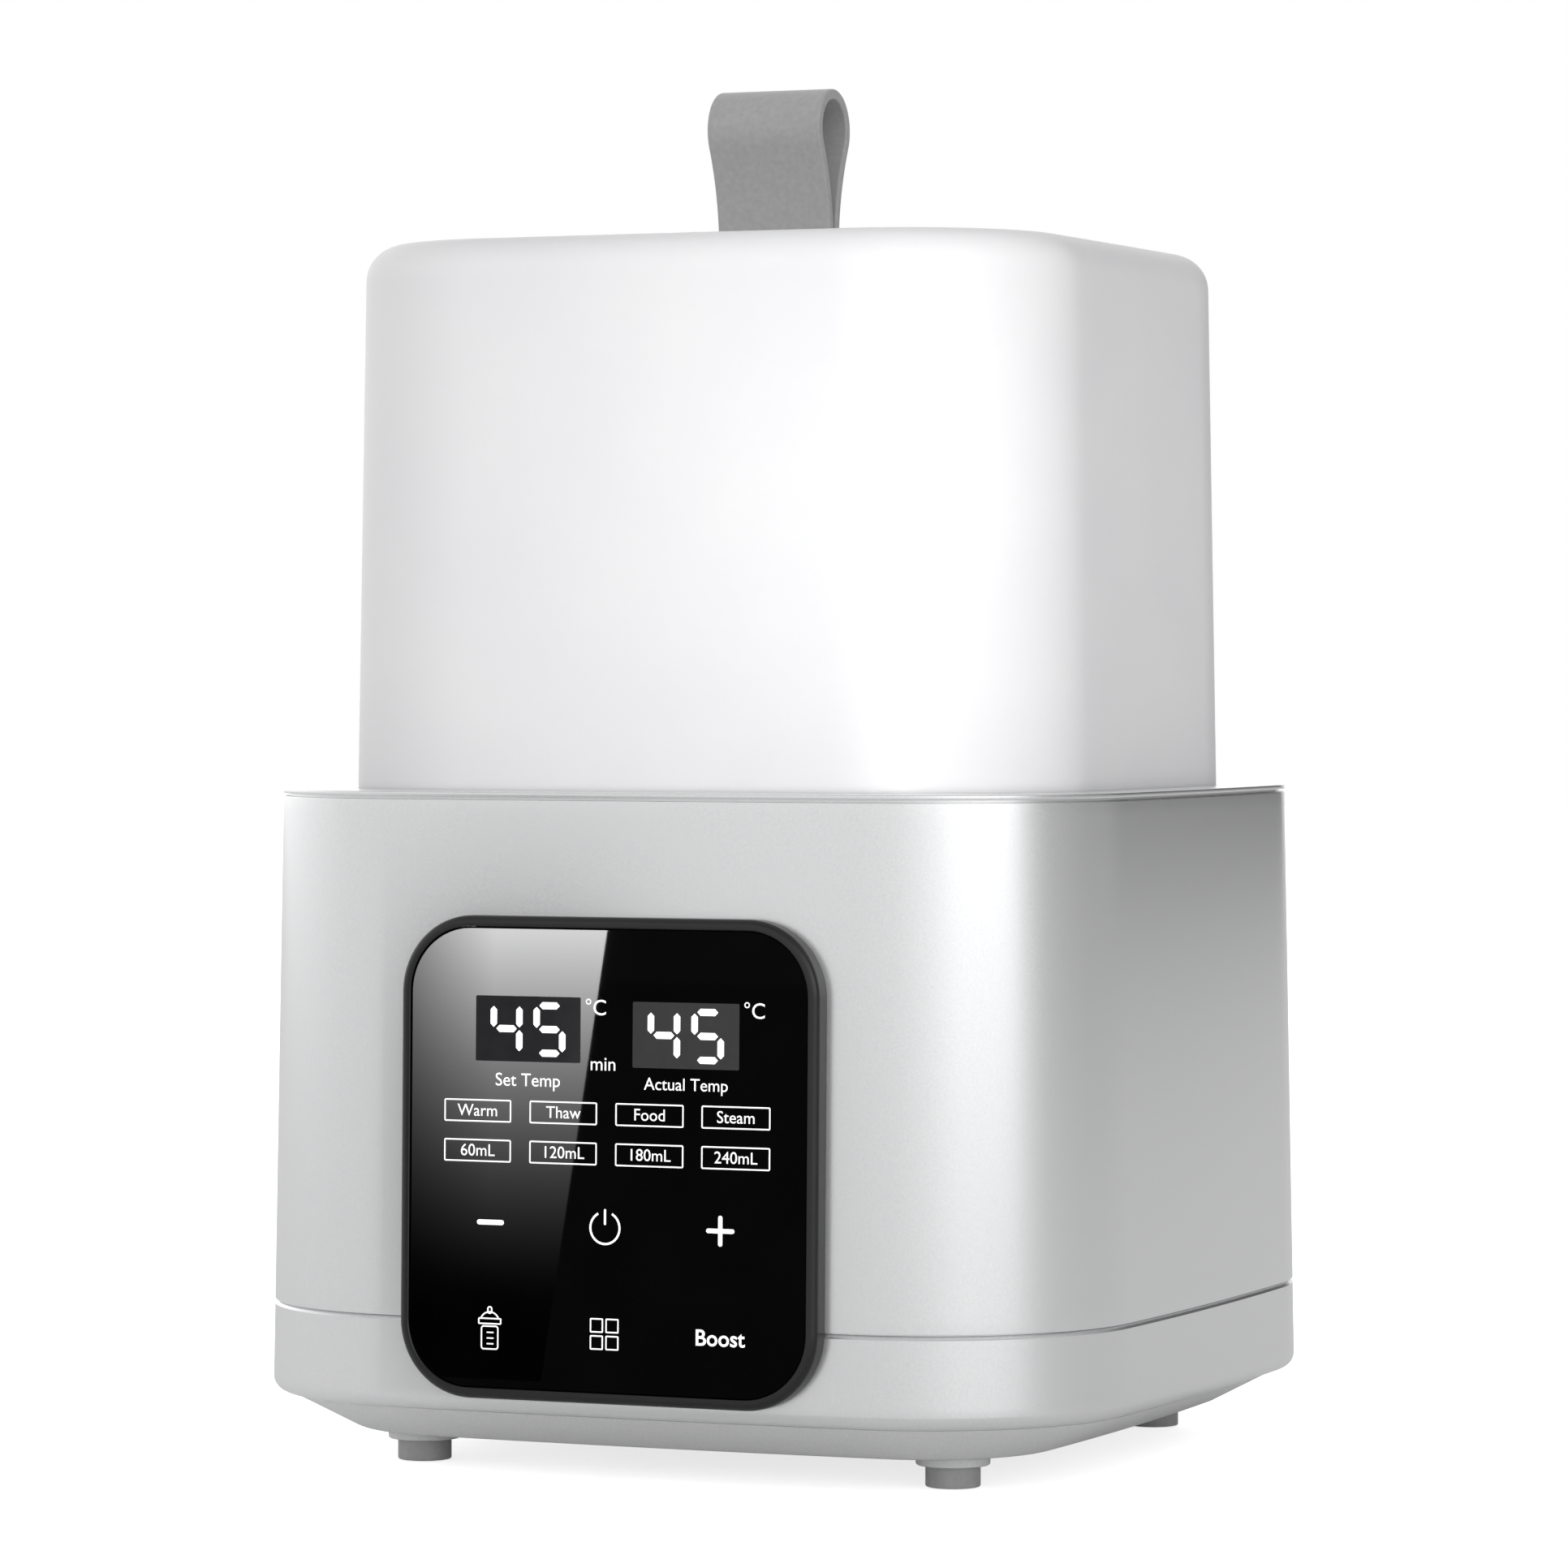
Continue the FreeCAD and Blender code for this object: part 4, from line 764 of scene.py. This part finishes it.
def casing_base():
    """The lower ring: a rounded foot, a chamfer at the seam and a rebate for the cover inside."""
    bottom = low("lower_casing").z
    seam = low("outer_shell").z - SEAM_GAP
    corner = CASING_BOTTOM_R
    rebate = bottom + corner + STEP
    ledge = rebate + BASE_LEDGE_T
    sections = turned(CASING, casing_offset(bottom + corner) - corner, bottom + corner, corner, 270, 360, 8)
    sections += levels(CASING, casing_offset, bottom + corner + 1.5, seam - SEAM_CHAMFER - 0.1, 4)
    sections += [(CASING, casing_offset(seam) - SEAM_CHAMFER / 2, seam - SEAM_CHAMFER * SEAM_ROUND)]
    sections += [(CASING, casing_offset(seam) - SEAM_CHAMFER, seam)]
    sections += levels(CASING, lambda z: casing_offset(z) - CASING_WALL, seam, ledge, 3)
    sections += [(CASING, casing_offset(bottom) - BASE_LEDGE_IN, ledge)]
    sections += [(CASING, casing_offset(bottom) - BASE_LEDGE_IN, rebate)]
    sections += [(CASING, casing_offset(bottom) - BASE_LIP_IN, rebate)]
    sections += [(CASING, casing_offset(bottom) - BASE_LIP_IN, bottom)]
    piece = begin("casing_base")
    stack(piece, sections, closed=True)
    leave(piece)
    carve(piece, panel_opening())
    carve(piece, gland_hole())
    smooth(piece)
    return hand_in(piece, "casing", "pearl_paint", PEARL, "lower_casing")


def gland_hole():
    """The round hole for the cord gland, through the back wall."""
    centre = (low("cord_gland") + high("cord_gland")) / 2
    length = high("cord_gland").y - low("cord_gland").y
    hole = drum("gland_tool", GLAND_HOLE_R, -length, length, sides=48)
    hole.matrix_world = Matrix.Translation(centre * MM) @ Matrix.Rotation(math.radians(90), 4, "X")
    settle(hole)
    return hole


def foot_places():
    """Each pad's name, its node and the middle of its place."""
    for name in ("front_left", "front_right", "rear_left", "rear_right"):
        node = "foot_pad_" + name
        centre = (low(node) + high(node)) / 2
        yield name, node, centre.x, centre.y


def base_cover():
    """The dished cover under the casing: a rounded rim, a slope and a flat bottom with the foot bosses."""
    bottom = high("foot_pad_front_left").z + FOOT_BOSS_H
    rim = low("lower_casing").z
    edge = casing_offset(rim) - COVER_GAP
    flat = edge - COVER_INSET
    slope = math.degrees(math.atan2(rim - bottom, COVER_INSET))
    bend = COVER_BEND_R
    lip = COVER_LIP
    tangent = bend * math.tan(math.radians(slope / 2))
    run, rise = math.cos(math.radians(slope)), math.sin(math.radians(slope))
    fall = math.tan(math.radians(slope))
    sections = [(CASING, flat - COVER_MIDDLE_IN, bottom)]
    sections += turned(CASING, flat - tangent, bottom + bend, bend, 270, 270 + slope, 5)
    sections += [(CASING, flat + COVER_SLOPE_ROW * run, bottom + COVER_SLOPE_ROW * rise)]
    sections += [(CASING, edge - 2 * lip, rim - 2 * lip * fall), (CASING, edge - lip / 2, rim + lip / 8)]
    sections += [(CASING, edge, rim + lip), (CASING, edge, rim + CASING_BOTTOM_R)]
    sections += [(CASING, edge - COVER_T, rim + CASING_BOTTOM_R)]
    sections += [(CASING, edge - COVER_T - COVER_INNER_BEND, rim + COVER_INNER_BEND)]
    sections += [(CASING, flat - 2 * COVER_INNER_BEND, bottom + COVER_T)]
    piece = begin("base_cover")
    stack(piece, sections, caps=(True, True))
    leave(piece)
    foot_top = bottom - FOOT_BOSS_H
    boss = drum("boss_tool", FOOT_BOSS_R, foot_top, bottom + 1.0)
    alone(boss)
    bpy.ops.object.mode_set(mode="EDIT")
    select_level(boss, foot_top)
    bpy.ops.mesh.bevel(offset=FOOT_BOSS_EDGE * MM, segments=4, affect="EDGES")
    leave(boss)
    for copy in spread(boss, [(x, y) for name, node, x, y in foot_places()]):
        carve(piece, copy, "UNION")
    vent = rounded_plate(
        "vent_tool", VENT_HALF_W, VENT_HALF_L, VENT_HALF_W - 0.01, bottom - REACH, bottom + REACH, steps=6)
    leave(vent)
    columns = [(i - (VENT_COUNT - 1) / 2) * VENT_STEP for i in range(VENT_COUNT)]
    for copy in spread(vent, [(x, y) for y in (-VENT_ROW_Y, VENT_ROW_Y) for x in columns]):
        carve(piece, copy)
    smooth(piece)
    return hand_in(piece, "casing", "white_abs", ABS_WHITE, "bottom_cover")


def foot_pads():
    """Rubber pads: a chamfered bottom edge with a shallow round recess in the middle."""
    places = list(foot_places())
    node, x = places[0][1:3]
    pad = drum("rubber_pad", high(node).x - x, 0.0, high(node).z)
    alone(pad)
    bpy.ops.object.mode_set(mode="EDIT")
    select_level(pad, 0.0, "FACE")
    bpy.ops.mesh.inset(thickness=PAD_RING * MM)
    bpy.ops.mesh.inset(thickness=PAD_SLOPE * MM)
    bpy.ops.transform.translate(value=(0, 0, PAD_RECESS * MM))
    bpy.ops.mesh.select_all(action="SELECT")
    bpy.ops.mesh.normals_make_consistent(inside=False)
    leave(pad)
    soften(pad, PAD_EDGE, 35)
    smooth(pad, 40)
    copies = spread(pad, [(x, y) for name, node, x, y in places])
    for copy, (name, node, x, y) in zip(copies, places):
        copy.name = "rubber_pad_" + name
        hand_in(copy, "casing", "grey_silicone", SILICONE, node)


# ---- panel --------------------------------------------------------------------
def panel_frame():
    """The panel's frame: rounded outside, with a pocket for the glass and a box through the wall."""
    piece = rounded_plate(
        "panel_frame", PANEL_HALF_W, PANEL_HALF_H, PANEL_CORNER_R, -BEZEL_ROOT, PANEL_PROUD)
    select_level(piece, PANEL_PROUD)
    bpy.ops.mesh.bevel(offset=BEZEL_EDGE_R * MM, segments=6, affect="EDGES")
    select_level(piece, PANEL_PROUD, "FACE")
    bpy.ops.mesh.inset(thickness=(BEZEL_BORDER - BEZEL_EDGE_R - BEZEL_LIP) * MM)
    bpy.ops.mesh.inset(thickness=BEZEL_LIP * MM)
    bpy.ops.transform.translate(value=(0, 0, -BEZEL_LIP * MM))
    bpy.ops.mesh.extrude_region_move(
        TRANSFORM_OT_translate={"value": (0, 0, (BEZEL_FLOOR - PANEL_PROUD + BEZEL_LIP) * MM)})
    leave(piece)
    to_panel(piece)
    block = begin("casing_tool")
    bottom, top = low("lower_casing").z, high("outer_shell").z
    stack(block, levels(CASING, lambda z: casing_offset(z) + MERGE, bottom, top, 6), caps=(True, True))
    leave(block)
    carve(piece, block)
    box = rounded_plate(
        "box_tool", BOX_HALF_W, BOX_HALF_H, BOX_CORNER_R, -BOX_DEPTH, BEZEL_FLOOR - BOX_SINK, steps=6)
    leave(box)
    to_panel(box)
    carve(piece, box, "UNION")
    half_w, half_h = BOX_HALF_W - BOX_WALL, BOX_HALF_H - BOX_WALL
    well = rounded_plate("well_tool", half_w, half_h, BOX_WALL, -BOX_DEPTH - REACH, PANEL_PROUD, steps=6)
    leave(well)
    to_panel(well)
    carve(piece, well)
    smooth(piece)
    return hand_in(piece, "casing", "black_abs", ABS_BLACK, "panel_bezel")


def cover_glass():
    """The glass in the frame's pocket, with a fine ground edge."""
    inset = BEZEL_BORDER + GLASS_GAP
    half_w, half_h, corner_r = PANEL_HALF_W - inset, PANEL_HALF_H - inset, PANEL_CORNER_R - inset
    back, front = BEZEL_FLOOR + GLASS_BED, PANEL_PROUD - GLASS_DROP
    piece = rounded_plate("cover_glass", half_w, half_h, corner_r, back, front)
    select_level(piece, front)
    bpy.ops.mesh.bevel(offset=GLASS_EDGE * MM, segments=3, affect="EDGES")
    leave(piece)
    to_panel(piece)
    smooth(piece)
    return hand_in(piece, "casing", "panel_glass", GLASS, "panel_glass")


# ---- what is printed and lit on the panel, drawn flat in millimetres -----------
PRINT_Z = PANEL_PROUD - GLASS_DROP
PRINT_T = 0.04
LINE = 0.28
LABELS = ("Warm", "Thaw", "Food", "Steam", "60mL", "120mL", "180mL", "240mL")
LABEL_X = (-27.5, -9.15, 9.15, 27.3)
LABEL_Y = (9.05, 1.3)
LABEL_HALF_W = 7.2
LABEL_HALF_H = 2.2
LABEL_TEXT = 3.3
TITLES = (("Set Temp", 3.6, -16.8, 15.1), ("Actual Temp", 3.4, 16.8, 15.0), ("min", 3.8, -0.75, 18.6))
DEGREES_TEXT = 4.3
DEGREES = ((-2.4, 29.4), (31.0, 29.4))
KEY_X = (-24.6, -0.1, 24.2)
KEY_Y = -12.7
MODE_Y = -33.4
MODE_TEXT = 4.4


def thin_plate(half_w, half_h, corner_r, x, y, steps=5, z=PRINT_Z):
    """A printed patch as thick as the ink."""
    return leave(rounded_plate("print", half_w, half_h, corner_r, z, z + PRINT_T, x, y, steps))


def outline_plate(half_w, half_h, corner_r, x, y, line=LINE):
    """A thin printed outline: a plate with its middle taken out."""
    plate = rounded_plate("print", half_w, half_h, corner_r, PRINT_Z, PRINT_Z + PRINT_T, x, y, 5)
    select_level(plate, PRINT_Z + PRINT_T, "FACE")
    bpy.ops.mesh.inset(thickness=line * MM)
    bpy.ops.mesh.delete(type="FACE")
    select_level(plate, PRINT_Z, "FACE")
    bpy.ops.mesh.inset(thickness=line * MM)
    bpy.ops.mesh.delete(type="FACE")
    bpy.ops.mesh.select_mode(type="EDGE")
    bpy.ops.mesh.select_all(action="DESELECT")
    bpy.ops.mesh.select_non_manifold(extend=False)
    bpy.ops.mesh.bridge_edge_loops()
    return leave(plate)


def arc_strip(radius, start, sweep, x, y, line=LINE, steps=28):
    """A printed arc: a short edge spun round, then given its thickness.  Angles from +X, in degrees."""
    piece = begin("print")
    a = math.radians(start)
    way = Vector((math.cos(a), math.sin(a), 0))
    inner = Vector((x, y, PRINT_Z)) + way * (radius - line / 2)
    vertex(*inner)
    bpy.ops.mesh.extrude_region_move(TRANSFORM_OT_translate={"value": way * line * MM})
    bpy.ops.mesh.select_all(action="SELECT")
    spin((x, y, PRINT_Z), sweep, steps)
    if abs(sweep) >= 360:
        bpy.ops.mesh.select_all(action="SELECT")
        bpy.ops.mesh.remove_doubles(threshold=MERGE * MM)
    bpy.ops.mesh.select_all(action="SELECT")
    bpy.ops.mesh.extrude_region_move(TRANSFORM_OT_translate={"value": (0, 0, PRINT_T * MM)})
    bpy.ops.mesh.select_all(action="SELECT")
    bpy.ops.mesh.normals_make_consistent(inside=False)
    return leave(piece)


def words(text, size, x, y, bold=0.0):
    """A line of plain lettering, centred on x and y, as a thin mesh."""
    bpy.ops.object.select_all(action="DESELECT")
    bpy.ops.object.text_add(location=(x * MM, y * MM, PRINT_Z * MM))
    piece = bpy.context.object
    piece.data.body = text
    piece.data.size = size * MM
    piece.data.align_x = "CENTER"
    piece.data.align_y = "CENTER"
    piece.data.extrude = PRINT_T * MM / 2
    piece.data.offset = bold * MM
    piece.data.resolution_u = 4
    bpy.ops.object.convert(target="MESH")
    bpy.ops.object.mode_set(mode="EDIT")
    bpy.ops.mesh.select_all(action="SELECT")
    bpy.ops.mesh.remove_doubles(threshold=PRINT_T * MM / 10)
    bpy.ops.mesh.select_all(action="SELECT")
    bpy.ops.mesh.normals_make_consistent(inside=False)
    leave(piece)
    settle(piece)
    return piece


def join(name, pieces):
    """Makes one object of several."""
    bpy.ops.object.select_all(action="DESELECT")
    for piece in pieces:
        piece.select_set(True)
    bpy.context.view_layer.objects.active = pieces[0]
    bpy.ops.object.join()
    made = bpy.context.object
    made.name = name
    return made


def bottle_icon(x, y):
    """A feeding bottle in outline: body, collar, teat and three graduations."""
    parts = [outline_plate(1.9, 2.35, 0.6, x, y - 1.6)]
    parts.append(outline_plate(2.5, 0.65, 0.3, x, y + 1.6))
    parts.append(arc_strip(2.05, 20, 140, x, y + 1.35, steps=10))
    parts.append(outline_plate(0.55, 0.75, 0.5, x, y + 3.75))
    marks = [(x + 0.1, y - 0.6 - i * 1.1) for i in range(3)]
    return parts + spread(thin_plate(0.75, 0.13, 0.1, 0, 0, 2), marks)


def grid_icon(x, y):
    """Four small squares."""
    reach = 1.65
    places = [(x + across, y + up) for across in (-reach, reach) for up in (-reach, reach)]
    return spread(outline_plate(1.4, 1.4, 0.25, 0, 0), places)


def power_icon(x, y):
    """An open ring with a stroke at its gap."""
    return [arc_strip(3.1, 118, 304, x, y, 0.42), thin_plate(0.22, 1.55, 0.2, x, y + 2.1, 3)]


def printed_legends():
    """All the white print on the glass, as one piece."""
    places = [(x, y) for y in LABEL_Y for x in LABEL_X]
    parts = spread(outline_plate(LABEL_HALF_W, LABEL_HALF_H, 0.35, 0, 0), places)
    parts += [words(text, LABEL_TEXT, x, y - 0.05) for text, (x, y) in zip(LABELS, places)]
    parts += [words(*title) for title in TITLES]
    parts += spread(words("°C", DEGREES_TEXT, 0, 0), DEGREES)
    parts += [thin_plate(2.9, 0.5, 0.48, KEY_X[0], KEY_Y + 0.1, 4)]
    parts += [thin_plate(2.95, 0.45, 0.43, KEY_X[2], KEY_Y, 4)]
    parts += [thin_plate(0.45, 2.95, 0.43, KEY_X[2], KEY_Y, 4)]
    parts += power_icon(KEY_X[1], KEY_Y - 0.2)
    parts += bottle_icon(KEY_X[0], MODE_Y)
    parts += grid_icon(KEY_X[1], MODE_Y)
    parts += [words("Boost", MODE_TEXT, KEY_X[2], MODE_Y, 0.06)]
    piece = join("printed_legends", parts)
    to_panel(piece)
    return hand_in(piece, "casing", "panel_glass", INK)


# Bars of a digit: a top, b upper right, c lower right, d bottom, f upper left, g middle
DIGIT_HALF_W = 2.75
DIGIT_HALF_H = 4.6
DIGIT_SHIFT = 4.6
BAR_T = 1.35
BARS = {"4": "fgbc", "5": "afgcd"}
BAR_PLACES = {
    "a": (0, DIGIT_HALF_H), "g": (0, 0), "d": (0, -DIGIT_HALF_H),
    "b": (DIGIT_HALF_W, DIGIT_HALF_H / 2), "c": (DIGIT_HALF_W, -DIGIT_HALF_H / 2),
    "f": (-DIGIT_HALF_W, DIGIT_HALF_H / 2),
}
LEVEL_BARS = "agd"
DISPLAYS = ((-16.8, 25.1), (16.7, 24.5))
WINDOW_HALF_W = 11.2
WINDOW_HALF_H = 6.35


def digit_bar(half_w, half_h):
    """One bar with pointed ends, a hair above the window."""
    return thin_plate(half_w, half_h, BAR_T * 0.47, 0, 0, 1, PRINT_Z + 0.05)


def lit_digits():
    """The number 45 on each display, from copies of one level and one upright bar."""
    level, upright = [], []
    for display_x, display_y in DISPLAYS:
        for digit, shift in (("4", -DIGIT_SHIFT), ("5", DIGIT_SHIFT)):
            for letter in BARS[digit]:
                x, y = BAR_PLACES[letter]
                kind = level if letter in LEVEL_BARS else upright
                kind.append((display_x + shift + x, display_y + y))
    parts = spread(digit_bar(DIGIT_HALF_W - BAR_T * 0.45, BAR_T / 2), level)
    parts += spread(digit_bar(BAR_T / 2, DIGIT_HALF_H / 2 - BAR_T * 0.225), upright)
    piece = join("lit_digits", parts)
    to_panel(piece)
    return hand_in(piece, "casing", "display_epoxy", LIT)


def display_windows():
    """The smoked patch behind each pair of digits."""
    window = thin_plate(WINDOW_HALF_W, WINDOW_HALF_H, 0.3, 0, 0)
    piece = join("display_windows", spread(window, DISPLAYS))
    to_panel(piece)
    return hand_in(piece, "casing", "display_epoxy", SMOKED)


# ---- the room: floor, light and camera ------------------------------------------
# Places and sizes in metres
FLOOR_SIZE = 12.0
FLOOR_DROP = 0.0002
FLOOR_GLOW = 0.75


def floor():
    """A pale sheet that glows evenly to the camera and takes a soft contact shadow."""
    bpy.ops.object.select_all(action="DESELECT")
    bpy.ops.mesh.primitive_plane_add(size=FLOOR_SIZE, location=(0, 0, -FLOOR_DROP))
    ground = bpy.context.object
    ground.name = "studio_floor"
    made, tree, shader = material("backlit_acrylic_sheet", Roughness=0.9)
    shader.inputs["Emission Color"].default_value = linear("#ffffff")
    seen = add(tree, "ShaderNodeLightPath").outputs["Is Camera Ray"]
    vary(tree, shader, "Emission Strength", seen, 0.0, FLOOR_GLOW)
    colour(tree, shader, grain(tree, 40.0), (0.3, "#f2f2f2"), (0.7, "#f6f6f6"))
    ground.data.materials.append(made)


def around(azimuth, distance, height):
    """A point round the object: azimuth 0 is in front, 90 to the right, in degrees."""
    a = math.radians(azimuth)
    return (distance * math.sin(a), -distance * math.cos(a), height)


def light_only(source, piece):
    """Keeps a lamp or a lit card to one piece."""
    receivers = bpy.data.collections.new("lit_by_" + source.name)
    receivers.objects.link(piece)
    source.light_linking.receiver_collection = receivers


def spot(name, place, aim, angle, power):
    """A soft round spotlight that looks at a point."""
    data = bpy.data.lights.new(name, "SPOT")
    data.energy = power
    data.spot_size = math.radians(angle)
    data.spot_blend = 1.0
    data.shadow_soft_size = SPOT_RADIUS
    light = bpy.data.objects.new(name, data)
    light.location = around(*place)
    light.rotation_euler = (Vector(aim) - light.location).to_track_quat("-Z", "Y").to_euler()
    bpy.context.scene.collection.objects.link(light)
    return light


# Brightness of the studio round the object: azimuth in degrees, and a share of the brightest softbox
STUDIO = (
    (-180, 0.52), (-150, 0.86), (-113, 0.72), (-63, 0.48), (-40, 0.44), (-20, 0.49), (5, 0.53), (25, 0.74),
    (38, 1.0), (68, 1.0), (78, 0.45), (88, 0.18), (120, 0.07), (143, 0.05), (153, 0.0), (168, 0.0))
STUDIO_STRENGTH = 1.97
SKY_SHARE = 0.285
# Heights at which the ring begins to fade and the ceiling is whole, as shares of straight up
RING_TOP = 0.35
SKY_FROM = 0.8
# The lid's spotlight: place as azimuth, distance and height, aim, cone in degrees, and watts
SPOT_RADIUS = 0.12
LID_SPOT = {"place": (24, 0.85, 0.17), "aim": (0.078, -0.07, 0.195), "angle": 20, "power": 27.0}


def room():
    """White to the camera; round the object, a ring of softboxes and flags under an even ceiling."""
    world = bpy.data.worlds.new("studio")
    bpy.context.scene.world = world
    world.use_nodes = True
    tree = world.node_tree
    sky = tree.nodes["Background"]
    way = add(tree, "ShaderNodeTexCoord").outputs["Generated"]
    turn = add(tree, "ShaderNodeMapping", Vector=way, Rotation=(0, 0, math.radians(90)))
    radial = add(tree, "ShaderNodeTexGradient", {"gradient_type": "RADIAL"}, Vector=turn.outputs["Vector"])
    shares = [((azimuth + 180) / 360, share) for azimuth, share in STUDIO]
    ring = ramp(tree, radial.outputs["Fac"], *shares)
    height = add(tree, "ShaderNodeSeparateXYZ", Vector=way).outputs["Z"]
    rise = add(tree, "ShaderNodeMapRange", Value=height, From_Min=RING_TOP, From_Max=SKY_FROM)
    mixed = add(tree, "ShaderNodeMix", {"data_type": "RGBA"})
    tree.links.new(rise.outputs["Result"], mixed.inputs["Factor"])
    tree.links.new(ring, mixed.inputs[6])
    mixed.inputs[7].default_value = (SKY_SHARE, SKY_SHARE, SKY_SHARE, 1.0)
    tree.links.new(mixed.outputs[2], sky.inputs["Color"])
    sky.inputs["Strength"].default_value = STUDIO_STRENGTH
    white = add(tree, "ShaderNodeBackground", Color=linear("#ffffff"))
    seen = add(tree, "ShaderNodeLightPath").outputs["Is Camera Ray"]
    choice = add(tree, "ShaderNodeMixShader", Fac=seen)
    tree.links.new(sky.outputs["Background"], choice.inputs[1])
    tree.links.new(white.outputs["Background"], choice.inputs[2])
    tree.links.new(choice.outputs["Shader"], tree.nodes["World Output"].inputs["Surface"])
    bpy.context.scene.view_settings.view_transform = "Standard"


# A lit card that only the panel's glass reflects, in millimetres: X at its foot and its head
CARD_Y = -331.0
CARD_OUTER = (-190.0, -190.0)
CARD_EDGE = (-126.5, -110.3)
CARD_HEIGHT = (1.0, 112.0)
CARD_STRENGTH = 260.0
# The card's light fades in over these heights and, less far, over these places across
CARD_FADE = (11.0, 106.0)
CARD_FADE_POWER = 3.0
CARD_SIDE_FADE = (-165.0, -140.0)
CARD_SIDE_LEAST = 0.3


def reflector(glass):
    """The card's slanted edge and fading light give the glass its diagonal reflection."""
    bpy.ops.object.select_all(action="DESELECT")
    bpy.ops.mesh.primitive_plane_add(size=2.0)
    card = bpy.context.object
    card.name = "reflector_card"
    corners = [(CARD_OUTER[0], CARD_HEIGHT[0]), (CARD_EDGE[0], CARD_HEIGHT[0]),
               (CARD_OUTER[1], CARD_HEIGHT[1]), (CARD_EDGE[1], CARD_HEIGHT[1])]
    for point, (x, z) in zip(card.data.vertices, corners):
        point.co = (x * MM, CARD_Y * MM, z * MM)
    made = bpy.data.materials.new("lit_reflector_card")
    made.use_nodes = True
    tree = made.node_tree
    tree.nodes.clear()
    place = add(tree, "ShaderNodeTexCoord").outputs["Object"]
    parts = add(tree, "ShaderNodeSeparateXYZ", Vector=place)
    fade = add(tree, "ShaderNodeMapRange",
               Value=parts.outputs["Z"], From_Min=CARD_FADE[0] * MM, From_Max=CARD_FADE[1] * MM)
    soft = add(tree, "ShaderNodeMath", {"operation": "POWER"})
    tree.links.new(fade.outputs["Result"], soft.inputs[0])
    soft.inputs[1].default_value = CARD_FADE_POWER
    side = add(tree, "ShaderNodeMapRange", Value=parts.outputs["X"],
               From_Min=CARD_SIDE_FADE[0] * MM, From_Max=CARD_SIDE_FADE[1] * MM, To_Min=CARD_SIDE_LEAST)
    power = add(tree, "ShaderNodeMath", {"operation": "MULTIPLY"})
    tree.links.new(soft.outputs["Value"], power.inputs[0])
    tree.links.new(side.outputs["Result"], power.inputs[1])
    shade = add(tree, "ShaderNodeCombineColor", Red=power.outputs["Value"], Green=power.outputs["Value"],
                Blue=power.outputs["Value"])
    glow = add(tree, "ShaderNodeEmission", Color=shade.outputs["Color"], Strength=CARD_STRENGTH)
    out = add(tree, "ShaderNodeOutputMaterial", Surface=glow.outputs["Emission"])
    out.is_active_output = True
    card.data.materials.append(made)
    card.visible_camera = False
    card.visible_diffuse = False
    card.visible_shadow = False
    light_only(card, glass)


# Lens and sensor in millimetres, place in degrees and metres, tilt and turn in degrees
CAMERA_LENS = 151.0
CAMERA_SENSOR = 36.0
CAMERA_PLACE = (23.183, 1.3503, 0.1594)
CAMERA_TILT = 88.981
CAMERA_TURN = 23.255


def camera():
    data = bpy.data.cameras.new("camera")
    data.lens = CAMERA_LENS
    data.sensor_width = CAMERA_SENSOR
    eye = bpy.data.objects.new("camera", data)
    eye.location = around(*CAMERA_PLACE)
    eye.rotation_euler = (math.radians(CAMERA_TILT), 0, math.radians(CAMERA_TURN))
    bpy.context.scene.collection.objects.link(eye)
    bpy.context.scene.camera = eye


# ---- build --------------------------------------------------------------------
LID_PIECE = frosted_lid()
strap_loop()
deck_ring()
casing_shell()
casing_base()
base_cover()
foot_pads()
panel_frame()
GLASS_PANE = cover_glass()
display_windows()
printed_legends()
lit_digits()
finish_frame_nodes()
floor()
room()
light_only(spot("lid_glow", **LID_SPOT), LID_PIECE)
reflector(GLASS_PANE)
camera()
